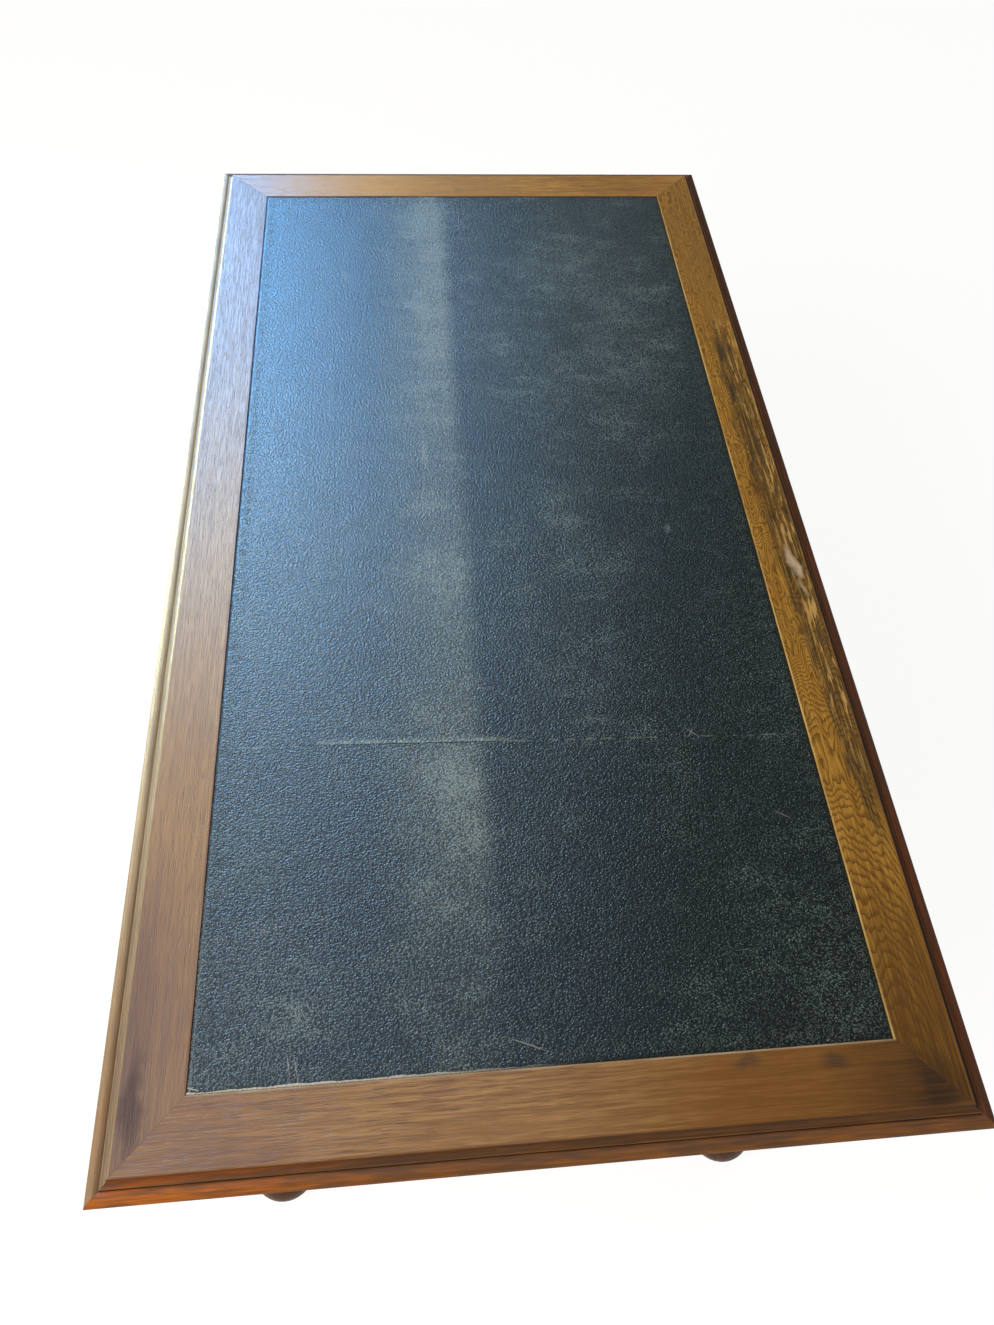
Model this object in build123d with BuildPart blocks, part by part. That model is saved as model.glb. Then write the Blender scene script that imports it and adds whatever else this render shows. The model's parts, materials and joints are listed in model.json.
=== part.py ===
from build123d import *
import os
from math import sqrt

# Flat-topped oak writing desk with a leather writing surface, three frieze drawers,
# turned legs on bun feet and an H stretcher. Millimetres, +Z up, floor at Z = 0,
# +X to the right along the length, and the drawers open towards -Y.

os.makedirs("parts", exist_ok=True)

# Driving sizes of the desk
desk_height = 760.0
top_length = 1460.0
top_width = 800.0
top_thickness = 30.0
overhang_front = 24.0
overhang_end = 9.0
frieze_height = 140.0
leg_block = 72.0

# Moulded frame of the top
frame_width = 78.5
arris_round = 1.2
cove_radius = 5.5
lip_width = 1.2
torus_radius = 7.5
torus_drop = 14.5
torus_start_share = 0.7
under_step = 1.5
tongue_thickness = 4.0
tongue_length_share = 0.62
tongue_bite_share = 0.34

# Core panel and leather
leather_thickness = 1.2
leather_sink = 0.4
leather_gap = 0.4
panel_thickness = 20.0
panel_gap = 0.3
panel_tongue = 8.0
panel_tongue_thickness = 8.0
seam_from_end_back = 330.0
seam_from_end_front = 312.5

# Legs, feet and stretchers
foot_diameter = 99.0
foot_height = 70.0
lower_block_height = 80.0
upper_block_drop = 30.0
block_chamfer = 4.0
spigot_diameter = 28.0
spigot_length = 24.0
spigot_fit = 0.05
stretcher_width = 44.0
stretcher_height = 36.0
stretcher_round = 6.0
stretcher_tenon = 14.0

# Frieze
apron_thickness = 22.0
apron_setback = 3.0
apron_round = 4.0
tenon_length = 26.0
tenon_thickness = 10.0
tenon_shoulder = 14.0
mortise_end_gap = 1.0
button_groove_depth = 8.0
button_groove_width = 6.4
button_groove_drop = 9.0
rail_thickness = 18.0
rail_depth = 50.0
rail_setback = 1.0
dovetail_length = 22.0
dovetail_thickness = 14.0
dovetail_root = 24.0
dovetail_tip = 34.0
muntin_width = 24.0
stub_tenon = 6.0
centre_opening = 536.0
centre_rail_raise = 30.0
partition_thickness = 22.0
housing_depth = 6.0
runner_width = 20.0
guide_height = 50.0
stop_length = 30.0
stop_width = 12.0
stop_height = 5.0
stop_gap = 0.3
stop_place_share = 0.3

# Drawers
drawer_rear_space = 125.0
drawer_side_gap = 1.0
drawer_top_gap = 1.2
drawer_run_gap = 0.3
drawer_setback = 2.0
front_thickness = 22.0
front_lap = 7.0
field_margin = 12.0
side_thickness = 12.0
back_thickness = 12.0
back_drop = 6.0
bottom_thickness = 6.0
bottom_rise = 9.0
bottom_groove = 5.0
bottom_slack = 0.5
tail_pitch = 32.0
tail_root_share = 0.50
tail_tip_share = 0.70

# Wooden buttons and their screws
button_width = 24.0
button_length = 28.0
button_height = 18.0
button_tongue = 7.0
button_tongue_height = 6.0
button_spacing = 420.0
button_end_spacing = 300.0
screw_diameter = 4.0
screw_head = 9.0
screw_bite = 14.0
screw_fit = 0.05
rail_screw_spacing = 300.0

# Drop pulls
plate_diameter = 34.0
plate_thickness = 2.0
boss_diameter = 20.0
boss_height = 1.5
pivot_reach = 13.0
post_width = 5.0
post_height = 6.0
eye_radius = 4.5
pin_radius = 2.0
running_gap = 0.05
fork_gap = 0.4
fork_cheek = 2.5
fork_radius = 4.0
crotch_drop = 5.2
yoke_height = 4.0
pendant_length = 35.0
pendant_radius = 7.5
pull_raise = 17.0
centre_pull_spacing = 330.0

# Lock, bolt, key and escutcheon of the centre drawer
key_drop = 26.0
lock_width = 40.0
lock_height = 37.0
lock_depth = 10.0
lock_wall = 1.5
lock_fit = 0.1
bolt_width = 24.0
bolt_thickness = 3.5
bolt_slack = 0.2
bolt_travel = 6.0
bolt_above_key = 4.0
bolt_top_sink = 1.0
bolt_mortise_gap = 1.0
guide_stud = 2.0
guide_stud_gap = 0.3
key_shank = 5.0
key_bit_length = 9.0
key_bit_width = 2.6
key_bit_depth = 5.5
key_bow_radius = 9.0
key_bow_thickness = 3.0
key_bow_hole = 3.4
key_collar = 8.0
key_collar_length = 2.5
key_collar_gap = 0.5
keyhole_gap = 0.7
escutcheon_width = 22.0
escutcheon_height = 28.0
escutcheon_thickness = 1.5

# Heights of the main joints
base_top = desk_height - top_thickness
frieze_bottom = base_top - frieze_height
block_bottom = frieze_bottom - upper_block_drop
stem_bottom = foot_height + lower_block_height
panel_top = desk_height - leather_sink - leather_thickness
panel_bottom = panel_top - panel_thickness
tongue_middle = panel_top - panel_thickness / 2

# Places of the legs, frieze and frame
half_block = leg_block / 2
leg_x = top_length / 2 - overhang_end - half_block
leg_y = top_width / 2 - overhang_front - half_block
bay_x = leg_x - half_block
bay_y = leg_y - half_block
front_plane = leg_y + half_block
opening_length = top_length - 2 * frame_width
opening_width = top_width - 2 * frame_width
end_apron_x = leg_x + half_block - apron_setback - apron_thickness / 2
back_apron_y = leg_y + half_block - apron_setback - apron_thickness / 2
end_apron_inside = end_apron_x - apron_thickness / 2
back_apron_inside = back_apron_y - apron_thickness / 2
rail_front = -(front_plane - rail_setback)
rail_rear = rail_front + rail_depth
rail_middle = rail_front + rail_depth / 2
muntin_x = centre_opening / 2 + muntin_width / 2
muntin_outside = muntin_x + muntin_width / 2
side_rail_top = frieze_bottom + rail_thickness
centre_rail_bottom = frieze_bottom + centre_rail_raise
centre_rail_top = centre_rail_bottom + rail_thickness
top_rail_bottom = base_top - rail_thickness
drawer_face = -(front_plane - drawer_setback)
drawer_inside_front = drawer_face + front_thickness
drawer_end = back_apron_inside - drawer_rear_space
key_z = top_rail_bottom - drawer_top_gap - key_drop
stretcher_z = foot_height + lower_block_height / 2

vertical = Vector(0, 0, 1)


def save(piece, name):
    piece.part.label = name
    export_step(piece.part, f"parts/{name}.step")


def block(low, high, mode=Mode.ADD):
    """One square-cornered block between two opposite corners."""
    size = [b - a for a, b in zip(low, high)]
    middle = [(a + b) / 2 for a, b in zip(low, high)]
    with Locations(tuple(middle)):
        Box(*size, mode=mode)


# Loose tongues of the mitres: the rails are slotted for the same boxes
def tongue_box(side_x, side_y, mode=Mode.ADD):
    place = Location(
        (
            side_x * (top_length - frame_width) / 2,
            side_y * (top_width - frame_width) / 2,
            desk_height - top_thickness / 2 - tongue_thickness / 2,
        ),
        (0, 0, 45 * side_x * side_y),
    )
    with Locations(place):
        Box(
            frame_width * tongue_length_share,
            frame_width * tongue_bite_share,
            tongue_thickness,
            mode=mode,
        )


corners = [(-1, -1), (1, -1), (1, 1), (-1, 1)]

# Screws: three rows of places, as (x, y) under the top
button_back_y = back_apron_inside - button_length / 2
button_end_x = end_apron_inside - button_length / 2
back_buttons = [(step * button_spacing, button_back_y) for step in (-1, 0, 1)]
end_buttons = [
    (side * button_end_x, step * button_end_spacing / 2) for side in (-1, 1) for step in (-1, 1)
]
rail_screws = [((step + 0.5) * rail_screw_spacing, rail_middle) for step in (-2, -1, 0, 1)]
screw_places = back_buttons + end_buttons + rail_screws


def top_rail(name, outward, reach, half_run):
    """A moulded rail of the top: its section runs along it and both ends are mitred."""
    along = outward.cross(vertical)
    inner = reach - frame_width
    torus_x = reach - torus_radius
    torus_z = desk_height - torus_drop
    torus_start_x = torus_x - torus_start_share * torus_radius
    torus_start_z = torus_z + sqrt(1 - torus_start_share**2) * torus_radius
    lip_end = (torus_start_x, desk_height - arris_round - cove_radius)
    lip_start = (lip_end[0] - lip_width, lip_end[1])
    arris_low = (lip_start[0] - cove_radius, desk_height - arris_round)
    arris_high = (arris_low[0] - arris_round, desk_height)
    torus_low = (torus_x, torus_z - torus_radius)
    cove_start = (torus_x - under_step, torus_low[1])
    under_cove = cove_start[1] - base_top
    cove_end = (cove_start[0] - under_cove, base_top)
    groove_end = inner + panel_tongue
    groove_low = tongue_middle - panel_tongue_thickness / 2
    groove_high = tongue_middle + panel_tongue_thickness / 2
    with BuildPart() as rail:
        with BuildSketch(Plane((0, 0, 0), x_dir=outward, z_dir=along)):
            with BuildLine():
                Line((inner, desk_height), arris_high)
                RadiusArc(arris_high, arris_low, arris_round)
                RadiusArc(arris_low, lip_start, -cove_radius)
                Line(lip_start, lip_end)
                Line(lip_end, (torus_start_x, torus_start_z))
                ThreePointArc((torus_start_x, torus_start_z), (reach, torus_z), torus_low)
                Line(torus_low, cove_start)
                RadiusArc(cove_start, cove_end, -under_cove)
                Polyline(
                    cove_end,
                    (inner, base_top),
                    (inner, groove_low),
                    (groove_end, groove_low),
                    (groove_end, groove_high),
                    (inner, groove_high),
                    (inner, desk_height),
                )
            make_face()
        extrude(amount=half_run, both=True)
        for end in (-1, 1):
            corner = outward * reach + along * (end * half_run)
            split(bisect_by=Plane(corner, z_dir=along * end - outward), keep=Keep.BOTTOM)
        for side_x, side_y in corners:
            tongue_box(side_x, side_y, mode=Mode.SUBTRACT)
        with BuildSketch(Plane.XY.offset(base_top)):
            with Locations(*screw_places):
                Circle(screw_diameter / 2)
        extrude(amount=screw_bite + screw_fit, mode=Mode.SUBTRACT)
    save(rail, name)


top_rail("top_rail_front", Vector(0, -1, 0), top_width / 2, top_length / 2)
top_rail("top_rail_back", Vector(0, 1, 0), top_width / 2, top_length / 2)
top_rail("top_rail_left", Vector(-1, 0, 0), top_length / 2, top_width / 2)
top_rail("top_rail_right", Vector(1, 0, 0), top_length / 2, top_width / 2)

with BuildPart() as mitre_tongues:
    for side_x, side_y in corners:
        tongue_box(side_x, side_y)
save(mitre_tongues, "mitre_tongues")

# Core panel: lies in the frame on a tongue all round, low enough for the leather
with BuildPart() as core_panel:
    with BuildSketch(Plane.XY.offset(panel_bottom)):
        Rectangle(opening_length - 2 * panel_gap, opening_width - 2 * panel_gap)
    extrude(amount=panel_thickness)
    with BuildSketch(Plane.XY.offset(tongue_middle - panel_tongue_thickness / 2)):
        Rectangle(
            opening_length + 2 * (panel_tongue - panel_gap),
            opening_width + 2 * (panel_tongue - panel_gap),
        )
    extrude(amount=panel_tongue_thickness)
save(core_panel, "core_panel")

# Leather: two skins that meet at a seam which runs a little askew across the top
skin_x = opening_length / 2 - leather_gap
skin_y = opening_width / 2 - leather_gap
seam_back = (seam_from_end_back - opening_length / 2, skin_y)
seam_front = (seam_from_end_front - opening_length / 2, -skin_y)


def leather_skin(name, end_x):
    with BuildPart() as skin:
        with BuildSketch(Plane.XY.offset(panel_top)):
            with BuildLine():
                Polyline(seam_back, (end_x, skin_y), (end_x, -skin_y), seam_front, close=True)
            make_face()
        extrude(amount=leather_thickness)
    save(skin, name)


leather_skin("leather_short", -skin_x)
leather_skin("leather_long", skin_x)

# Turning tables, from the bottom up. Each row is the height as a share of the whole
# turning, then the radius at its foot, middle and head as shares of the girth radius.
foot_turning_shares = (
    (0.80, 0.68, 1.00, 0.68),
    (0.07, 0.56, 0.56, 0.56),
    (0.13, 0.60, 0.68, 0.60),
)
stem_turning_shares = (
    (0.012, 0.80, 0.80, 0.80),
    (0.045, 0.80, 0.95, 0.80),
    (0.012, 0.70, 0.70, 0.70),
    (0.045, 0.64, 0.52, 0.52),
    (0.022, 0.52, 0.64, 0.52),
    (0.230, 0.46, 0.84, 0.88),
    (0.430, 0.88, 0.76, 0.44),
    (0.030, 0.52, 0.66, 0.52),
    (0.014, 0.50, 0.50, 0.50),
    (0.070, 0.50, 0.54, 0.80),
    (0.016, 0.84, 0.84, 0.84),
    (0.058, 0.84, 0.97, 0.84),
    (0.016, 0.74, 0.74, 0.74),
)


def turning(turning_shares, low, height, girth):
    """Half outline of a turning beside the axis, closed along the axis."""
    radius, z = 0.0, low
    for height_share, foot_share, middle_share, head_share in turning_shares:
        foot = (foot_share * girth, z)
        middle = (middle_share * girth, z + height_share * height / 2)
        head = (head_share * girth, z + height_share * height)
        if foot[0] != radius:
            Line((radius, z), foot)
        if foot[0] == middle[0] == head[0]:
            Line(foot, head)
        else:
            ThreePointArc(foot, middle, head)
        radius, z = head
    Line((radius, z), (0, z))
    Line((0, z), (0, low))


def upright(x, y):
    """Plane that stands on the floor at a leg, with its own x along +X and its y up."""
    return Plane((x, y, 0), x_dir=(1, 0, 0), z_dir=(0, -1, 0))


def rail_dovetail(side):
    """Plan of the dovetail that ties the front top rail into a leg."""
    root_x = side * bay_x
    tip_x = side * (bay_x + dovetail_length)
    Polygon(
        (root_x, rail_middle - dovetail_root / 2),
        (tip_x, rail_middle - dovetail_tip / 2),
        (tip_x, rail_middle + dovetail_tip / 2),
        (root_x, rail_middle + dovetail_root / 2),
        align=None,
    )


apron_tenon_low = frieze_bottom + tenon_shoulder
apron_tenon_high = base_top - tenon_shoulder
rail_tenon_half = rail_depth / 2 - tenon_thickness
rail_tenon_low = frieze_bottom + (rail_thickness - tenon_thickness) / 2
stretcher_tenon_low = stretcher_z - stretcher_height / 2 + stretcher_round


def end_tenon(side_x, side_y, extra=0.0, mode=Mode.ADD):
    """Tenon of an end apron in a leg."""
    x = side_x * end_apron_x
    tip = side_y * (bay_y + tenon_length + extra)
    root = side_y * bay_y
    block(
        (x - tenon_thickness / 2, min(root, tip), apron_tenon_low),
        (x + tenon_thickness / 2, max(root, tip), apron_tenon_high),
        mode,
    )


def back_tenon(side_x, extra=0.0, mode=Mode.ADD):
    """Tenon of the back apron in a leg."""
    tip = side_x * (bay_x + tenon_length + extra)
    root = side_x * bay_x
    block(
        (min(root, tip), back_apron_y - tenon_thickness / 2, apron_tenon_low),
        (max(root, tip), back_apron_y + tenon_thickness / 2, apron_tenon_high),
        mode,
    )


def lower_rail_tenon(side_x, extra=0.0, mode=Mode.ADD):
    """Tenon of a side lower rail in a front leg."""
    tip = side_x * (bay_x + tenon_length + extra)
    root = side_x * bay_x
    block(
        (min(root, tip), rail_middle - rail_tenon_half, rail_tenon_low),
        (max(root, tip), rail_middle + rail_tenon_half, rail_tenon_low + tenon_thickness),
        mode,
    )


def stretcher_end_tenon(side_x, side_y, extra=0.0, mode=Mode.ADD):
    """Tenon of an end stretcher in a leg's lower block."""
    tip = side_y * (bay_y + tenon_length + extra)
    root = side_y * bay_y
    block(
        (side_x * leg_x - stretcher_tenon / 2, min(root, tip), stretcher_tenon_low),
        (
            side_x * leg_x + stretcher_tenon / 2,
            max(root, tip),
            stretcher_tenon_low + stretcher_height - 2 * stretcher_round,
        ),
        mode,
    )


def leg(name, side_x, side_y):
    x = side_x * leg_x
    y = side_y * leg_y
    with BuildPart() as post:
        block((x - half_block, y - half_block, foot_height), (x + half_block, y + half_block, stem_bottom))
        block((x - half_block, y - half_block, block_bottom), (x + half_block, y + half_block, base_top))
        arrises = post.edges().filter_by(Axis.Z, reverse=True)
        ends = [e for e in arrises if abs(e.center().Z - stem_bottom) < arris_round]
        ends += [e for e in arrises if abs(e.center().Z - block_bottom) < arris_round]
        chamfer(ends, length=block_chamfer)
        with BuildSketch(upright(x, y)):
            with BuildLine():
                turning(stem_turning_shares, stem_bottom, block_bottom - stem_bottom, half_block)
            make_face()
        revolve(axis=Axis((x, y, 0), (0, 0, 1)))
        with BuildSketch(Plane((x, y, foot_height))):
            Circle(spigot_diameter / 2)
        extrude(amount=spigot_length + mortise_end_gap, mode=Mode.SUBTRACT)
        end_tenon(side_x, side_y, mortise_end_gap, Mode.SUBTRACT)
        stretcher_end_tenon(side_x, side_y, mortise_end_gap, Mode.SUBTRACT)
        if side_y > 0:
            back_tenon(side_x, mortise_end_gap, Mode.SUBTRACT)
        else:
            lower_rail_tenon(side_x, mortise_end_gap, Mode.SUBTRACT)
            with BuildSketch(Plane.XY.offset(base_top)):
                rail_dovetail(side_x)
            extrude(amount=-dovetail_thickness, mode=Mode.SUBTRACT)
    save(post, name)


leg("leg_front_left", -1, -1)
leg("leg_front_right", 1, -1)
leg("leg_back_right", 1, 1)
leg("leg_back_left", -1, 1)

# Bun feet: turned, each with a round spigot glued up into its leg
with BuildPart() as bun_feet:
    for side_x, side_y in corners:
        x = side_x * leg_x
        y = side_y * leg_y
        with BuildSketch(upright(x, y)):
            with BuildLine():
                turning(foot_turning_shares, 0.0, foot_height, foot_diameter / 2)
            make_face()
        revolve(axis=Axis((x, y, 0), (0, 0, 1)))
        with BuildSketch(Plane((x, y, foot_height))):
            Circle(spigot_diameter / 2 - spigot_fit)
        extrude(amount=spigot_length)
save(bun_feet, "bun_feet")


# Stretchers: an H of three moulded bars
def end_stretcher(name, side_x):
    x = side_x * leg_x
    with BuildPart() as bar:
        block(
            (x - stretcher_width / 2, -bay_y, stretcher_z - stretcher_height / 2),
            (x + stretcher_width / 2, bay_y, stretcher_z + stretcher_height / 2),
        )
        long_edges = bar.edges().filter_by(Axis.Y).group_by(Axis.Z)[-1]
        fillet(long_edges, radius=stretcher_round)
        for side_y in (-1, 1):
            stretcher_end_tenon(side_x, side_y)
        centre_stretcher_tenon(side_x, mortise_end_gap, Mode.SUBTRACT)
    save(bar, name)


def centre_stretcher_tenon(side_x, extra=0.0, mode=Mode.ADD):
    root = side_x * (leg_x - stretcher_width / 2)
    tip = root + side_x * (stretcher_width / 2 + extra)
    block(
        (min(root, tip), -stretcher_tenon / 2, stretcher_tenon_low),
        (
            max(root, tip),
            stretcher_tenon / 2,
            stretcher_tenon_low + stretcher_height - 2 * stretcher_round,
        ),
        mode,
    )


end_stretcher("stretcher_left", -1)
end_stretcher("stretcher_right", 1)

with BuildPart() as stretcher_centre:
    bar_half = leg_x - stretcher_width / 2
    block(
        (-bar_half, -stretcher_width / 2, stretcher_z - stretcher_height / 2),
        (bar_half, stretcher_width / 2, stretcher_z + stretcher_height / 2),
    )
    fillet(stretcher_centre.edges().filter_by(Axis.X).group_by(Axis.Z)[-1], radius=stretcher_round)
    for side_x in (-1, 1):
        centre_stretcher_tenon(side_x)
save(stretcher_centre, "stretcher_centre")

# Aprons: plain boards with a rounded lower arris, tenoned into the legs, and a groove
# inside for the buttons that hold the top
groove_top = base_top - button_groove_drop


def end_apron(name, side_x):
    x = side_x * end_apron_x
    outside = x + side_x * apron_thickness / 2
    inside = x - side_x * apron_thickness / 2
    floor_of_groove = inside + side_x * button_groove_depth
    with BuildPart() as board:
        block(
            (x - apron_thickness / 2, -bay_y, frieze_bottom),
            (x + apron_thickness / 2, bay_y, base_top),
        )
        low_edges = board.edges().filter_by(Axis.Y).group_by(Axis.Z)[0]
        fillet([e for e in low_edges if abs(e.center().X - outside) < apron_round], radius=apron_round)
        for side_y in (-1, 1):
            end_tenon(side_x, side_y)
        block(
            (min(inside, floor_of_groove), -bay_y, groove_top - button_groove_width),
            (max(inside, floor_of_groove), bay_y, groove_top),
            Mode.SUBTRACT,
        )
    save(board, name)


end_apron("apron_left", -1)
end_apron("apron_right", 1)

with BuildPart() as apron_back:
    block(
        (-bay_x, back_apron_inside, frieze_bottom),
        (bay_x, back_apron_inside + apron_thickness, base_top),
    )
    low_edges = apron_back.edges().filter_by(Axis.X).group_by(Axis.Z)[0]
    fillet(low_edges.sort_by(Axis.Y)[-1], radius=apron_round)
    for side_x in (-1, 1):
        back_tenon(side_x)
        block(
            (
                side_x * muntin_x - partition_thickness / 2,
                back_apron_inside,
                frieze_bottom,
            ),
            (
                side_x * muntin_x + partition_thickness / 2,
                back_apron_inside + housing_depth,
                base_top,
            ),
            Mode.SUBTRACT,
        )
    block(
        (-bay_x, back_apron_inside, groove_top - button_groove_width),
        (bay_x, back_apron_inside + button_groove_depth, groove_top),
        Mode.SUBTRACT,
    )
save(apron_back, "apron_back")


# Front frame of the drawer bays
def muntin_stub(side_x, low, high, mode=Mode.ADD):
    """Stub tenon at one end of a muntin."""
    block(
        (side_x * muntin_x - muntin_width / 4, rail_middle - rail_tenon_half, low),
        (side_x * muntin_x + muntin_width / 4, rail_middle + rail_tenon_half, high),
        mode,
    )


def centre_rail_stub(side_x, mode=Mode.ADD):
    """Stub tenon of the centre lower rail in a muntin."""
    root = side_x * centre_opening / 2
    tip = root + side_x * stub_tenon
    middle = centre_rail_bottom + rail_thickness / 2
    block(
        (min(root, tip), rail_middle - rail_tenon_half, middle - tenon_thickness / 2),
        (max(root, tip), rail_middle + rail_tenon_half, middle + tenon_thickness / 2),
        mode,
    )


bolt_rear = drawer_inside_front - lock_wall - bolt_slack
bolt_front = bolt_rear - bolt_thickness

with BuildPart() as front_top_rail:
    block((-bay_x, rail_front, top_rail_bottom), (bay_x, rail_rear, base_top))
    for side_x in (-1, 1):
        with BuildSketch(Plane.XY.offset(base_top)):
            rail_dovetail(side_x)
        extrude(amount=-dovetail_thickness)
        muntin_stub(side_x, top_rail_bottom, top_rail_bottom + stub_tenon, Mode.SUBTRACT)
    block(
        (
            -bolt_width / 2 - bolt_mortise_gap,
            bolt_front - bolt_mortise_gap,
            top_rail_bottom,
        ),
        (
            bolt_width / 2 + bolt_mortise_gap,
            bolt_rear + bolt_mortise_gap,
            top_rail_bottom + bolt_travel + bolt_mortise_gap,
        ),
        Mode.SUBTRACT,
    )
    with BuildSketch(Plane.XY.offset(top_rail_bottom)):
        with Locations(*rail_screws):
            Circle(screw_diameter / 2)
    extrude(amount=rail_thickness, mode=Mode.SUBTRACT)
    with BuildSketch(Plane.XY.offset(top_rail_bottom)):
        with Locations(*rail_screws):
            Circle(screw_head / 2)
    extrude(amount=(screw_head - screw_diameter) / 2, taper=45, mode=Mode.SUBTRACT)
save(front_top_rail, "front_top_rail")


def side_lower_rail(name, side_x):
    inner = side_x * centre_opening / 2
    outer = side_x * bay_x
    with BuildPart() as rail:
        block(
            (min(inner, outer), rail_front, frieze_bottom),
            (max(inner, outer), rail_rear, side_rail_top),
        )
        lower_rail_tenon(side_x)
        muntin_stub(side_x, side_rail_top - stub_tenon, side_rail_top, Mode.SUBTRACT)
    save(rail, name)


side_lower_rail("lower_rail_left", -1)
side_lower_rail("lower_rail_right", 1)

with BuildPart() as lower_rail_centre:
    block(
        (-centre_opening / 2, rail_front, centre_rail_bottom),
        (centre_opening / 2, rail_rear, centre_rail_top),
    )
    for side_x in (-1, 1):
        centre_rail_stub(side_x)
save(lower_rail_centre, "lower_rail_centre")


def muntin(name, side_x):
    with BuildPart() as post:
        block(
            (side_x * muntin_x - muntin_width / 2, rail_front, side_rail_top),
            (side_x * muntin_x + muntin_width / 2, rail_rear, top_rail_bottom),
        )
        muntin_stub(side_x, side_rail_top - stub_tenon, side_rail_top)
        muntin_stub(side_x, top_rail_bottom, top_rail_bottom + stub_tenon)
        centre_rail_stub(side_x, Mode.SUBTRACT)
    save(post, name)


muntin("muntin_left", -1)
muntin("muntin_right", 1)


def partition(name, side_x):
    """Board that parts two drawer bays, housed in the back apron."""
    with BuildPart() as board:
        block(
            (side_x * muntin_x - partition_thickness / 2, rail_rear, frieze_bottom),
            (
                side_x * muntin_x + partition_thickness / 2,
                back_apron_inside + housing_depth,
                base_top,
            ),
        )
    save(board, name)


partition("partition_left", -1)
partition("partition_right", 1)

# Runners, kickers and guides: battens from the front frame to the back apron
outer_line = bay_x
side_of_partition = muntin_x + partition_thickness / 2
inner_of_partition = muntin_x - partition_thickness / 2
side_lines = [(outer_line - runner_width, outer_line), (side_of_partition, side_of_partition + runner_width)]
centre_lines = [(inner_of_partition - runner_width, inner_of_partition)]


def battens(lines, low, high):
    for near, far in lines:
        for side in (-1, 1):
            block(
                (min(side * near, side * far), rail_rear, low),
                (max(side * near, side * far), back_apron_inside, high),
            )


with BuildPart() as side_runners:
    battens(side_lines, frieze_bottom, side_rail_top)
save(side_runners, "side_runners")

with BuildPart() as centre_runners:
    battens(centre_lines, centre_rail_bottom, centre_rail_top)
save(centre_runners, "centre_runners")

with BuildPart() as kickers:
    battens(side_lines + centre_lines, top_rail_bottom, base_top)
save(kickers, "kickers")

with BuildPart() as side_guides:
    for side in (-1, 1):
        block(
            (min(side * outer_line, side * end_apron_inside), -bay_y, frieze_bottom),
            (max(side * outer_line, side * end_apron_inside), bay_y, frieze_bottom + guide_height),
        )
save(side_guides, "side_guides")

# Drawer bays: name, low x, high x and the height that the drawer runs on
bays = [
    ("left", -bay_x, -muntin_outside, side_rail_top),
    ("centre", -centre_opening / 2, centre_opening / 2, centre_rail_top),
    ("right", muntin_outside, bay_x, side_rail_top),
]

with BuildPart() as drawer_stops:
    for bay, low_x, high_x, run_z in bays:
        for side in (-1, 1):
            x = (low_x + high_x) / 2 + side * stop_place_share * (high_x - low_x)
            y = drawer_inside_front + stop_gap
            block((x - stop_length / 2, y, run_z), (x + stop_length / 2, y + stop_width, run_z + stop_height))
save(drawer_stops, "drawer_stops")


# Buttons: a wooden block under the top, with a tongue in the apron's groove
def button(x, y, towards):
    """Button with its body at (x, y) and its tongue on the side it points to."""
    across = Vector(abs(towards.Y), abs(towards.X), 0) * button_width / 2
    body = Vector(abs(towards.X), abs(towards.Y), 0) * button_length / 2
    middle = Vector(x, y, 0)
    low = middle - across - body
    high = middle + across + body
    block(
        (low.X, low.Y, base_top - button_height),
        (high.X, high.Y, base_top),
    )
    root = middle + towards * button_length / 2
    tip = root + towards * button_tongue
    low = [min(a, b) for a, b in zip(root - across, tip - across)]
    high = [max(a, b) for a, b in zip(root + across, tip + across)]
    middle_of_groove = groove_top - button_groove_width / 2
    block(
        (low[0], low[1], middle_of_groove - button_tongue_height / 2),
        (high[0], high[1], middle_of_groove + button_tongue_height / 2),
    )


with BuildPart() as top_buttons:
    for x, y in back_buttons:
        button(x, y, Vector(0, 1, 0))
    for x, y in end_buttons:
        button(x, y, Vector(1, 0, 0) if x > 0 else Vector(-1, 0, 0))
    with BuildSketch(Plane.XY.offset(base_top - button_height)):
        with Locations(*(back_buttons + end_buttons)):
            Circle(screw_diameter / 2)
    extrude(amount=button_height, mode=Mode.SUBTRACT)
    with BuildSketch(Plane.XY.offset(base_top - button_height)):
        with Locations(*(back_buttons + end_buttons)):
            Circle(screw_head / 2)
    extrude(amount=(screw_head - screw_diameter) / 2, taper=45, mode=Mode.SUBTRACT)
save(top_buttons, "top_buttons")

with BuildPart() as top_screws:
    for places, under in ((back_buttons + end_buttons, button_height), (rail_screws, rail_thickness)):
        with BuildSketch(Plane.XY.offset(base_top - under)):
            with Locations(*places):
                Circle(screw_diameter / 2 - screw_fit)
        extrude(amount=under + screw_bite)
        with BuildSketch(Plane.XY.offset(base_top - under)):
            with Locations(*places):
                Circle(screw_head / 2 - screw_fit)
        extrude(amount=(screw_head - screw_diameter) / 2, taper=45)
save(top_screws, "top_screws")


# Drawers: the sides are cut with dovetails, half-blind into the front and through the back
def tails(low, high, root_y, tip_y):
    """Side view of the tails between two heights, in a sketch with y across and z up."""
    count = max(1, round((high - low) / tail_pitch))
    pitch = (high - low) / count
    for index in range(count):
        middle = low + (index + 0.5) * pitch
        root = pitch * tail_root_share / 2
        tip = pitch * tail_tip_share / 2
        Polygon(
            (root_y, middle - root),
            (tip_y, middle - tip),
            (tip_y, middle + tip),
            (root_y, middle + root),
            align=None,
        )


def side_view(x):
    """Plane at a drawer's side with y across and z up, facing +X."""
    return Plane((x, 0, 0), x_dir=(0, 1, 0), z_dir=(1, 0, 0))


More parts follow.
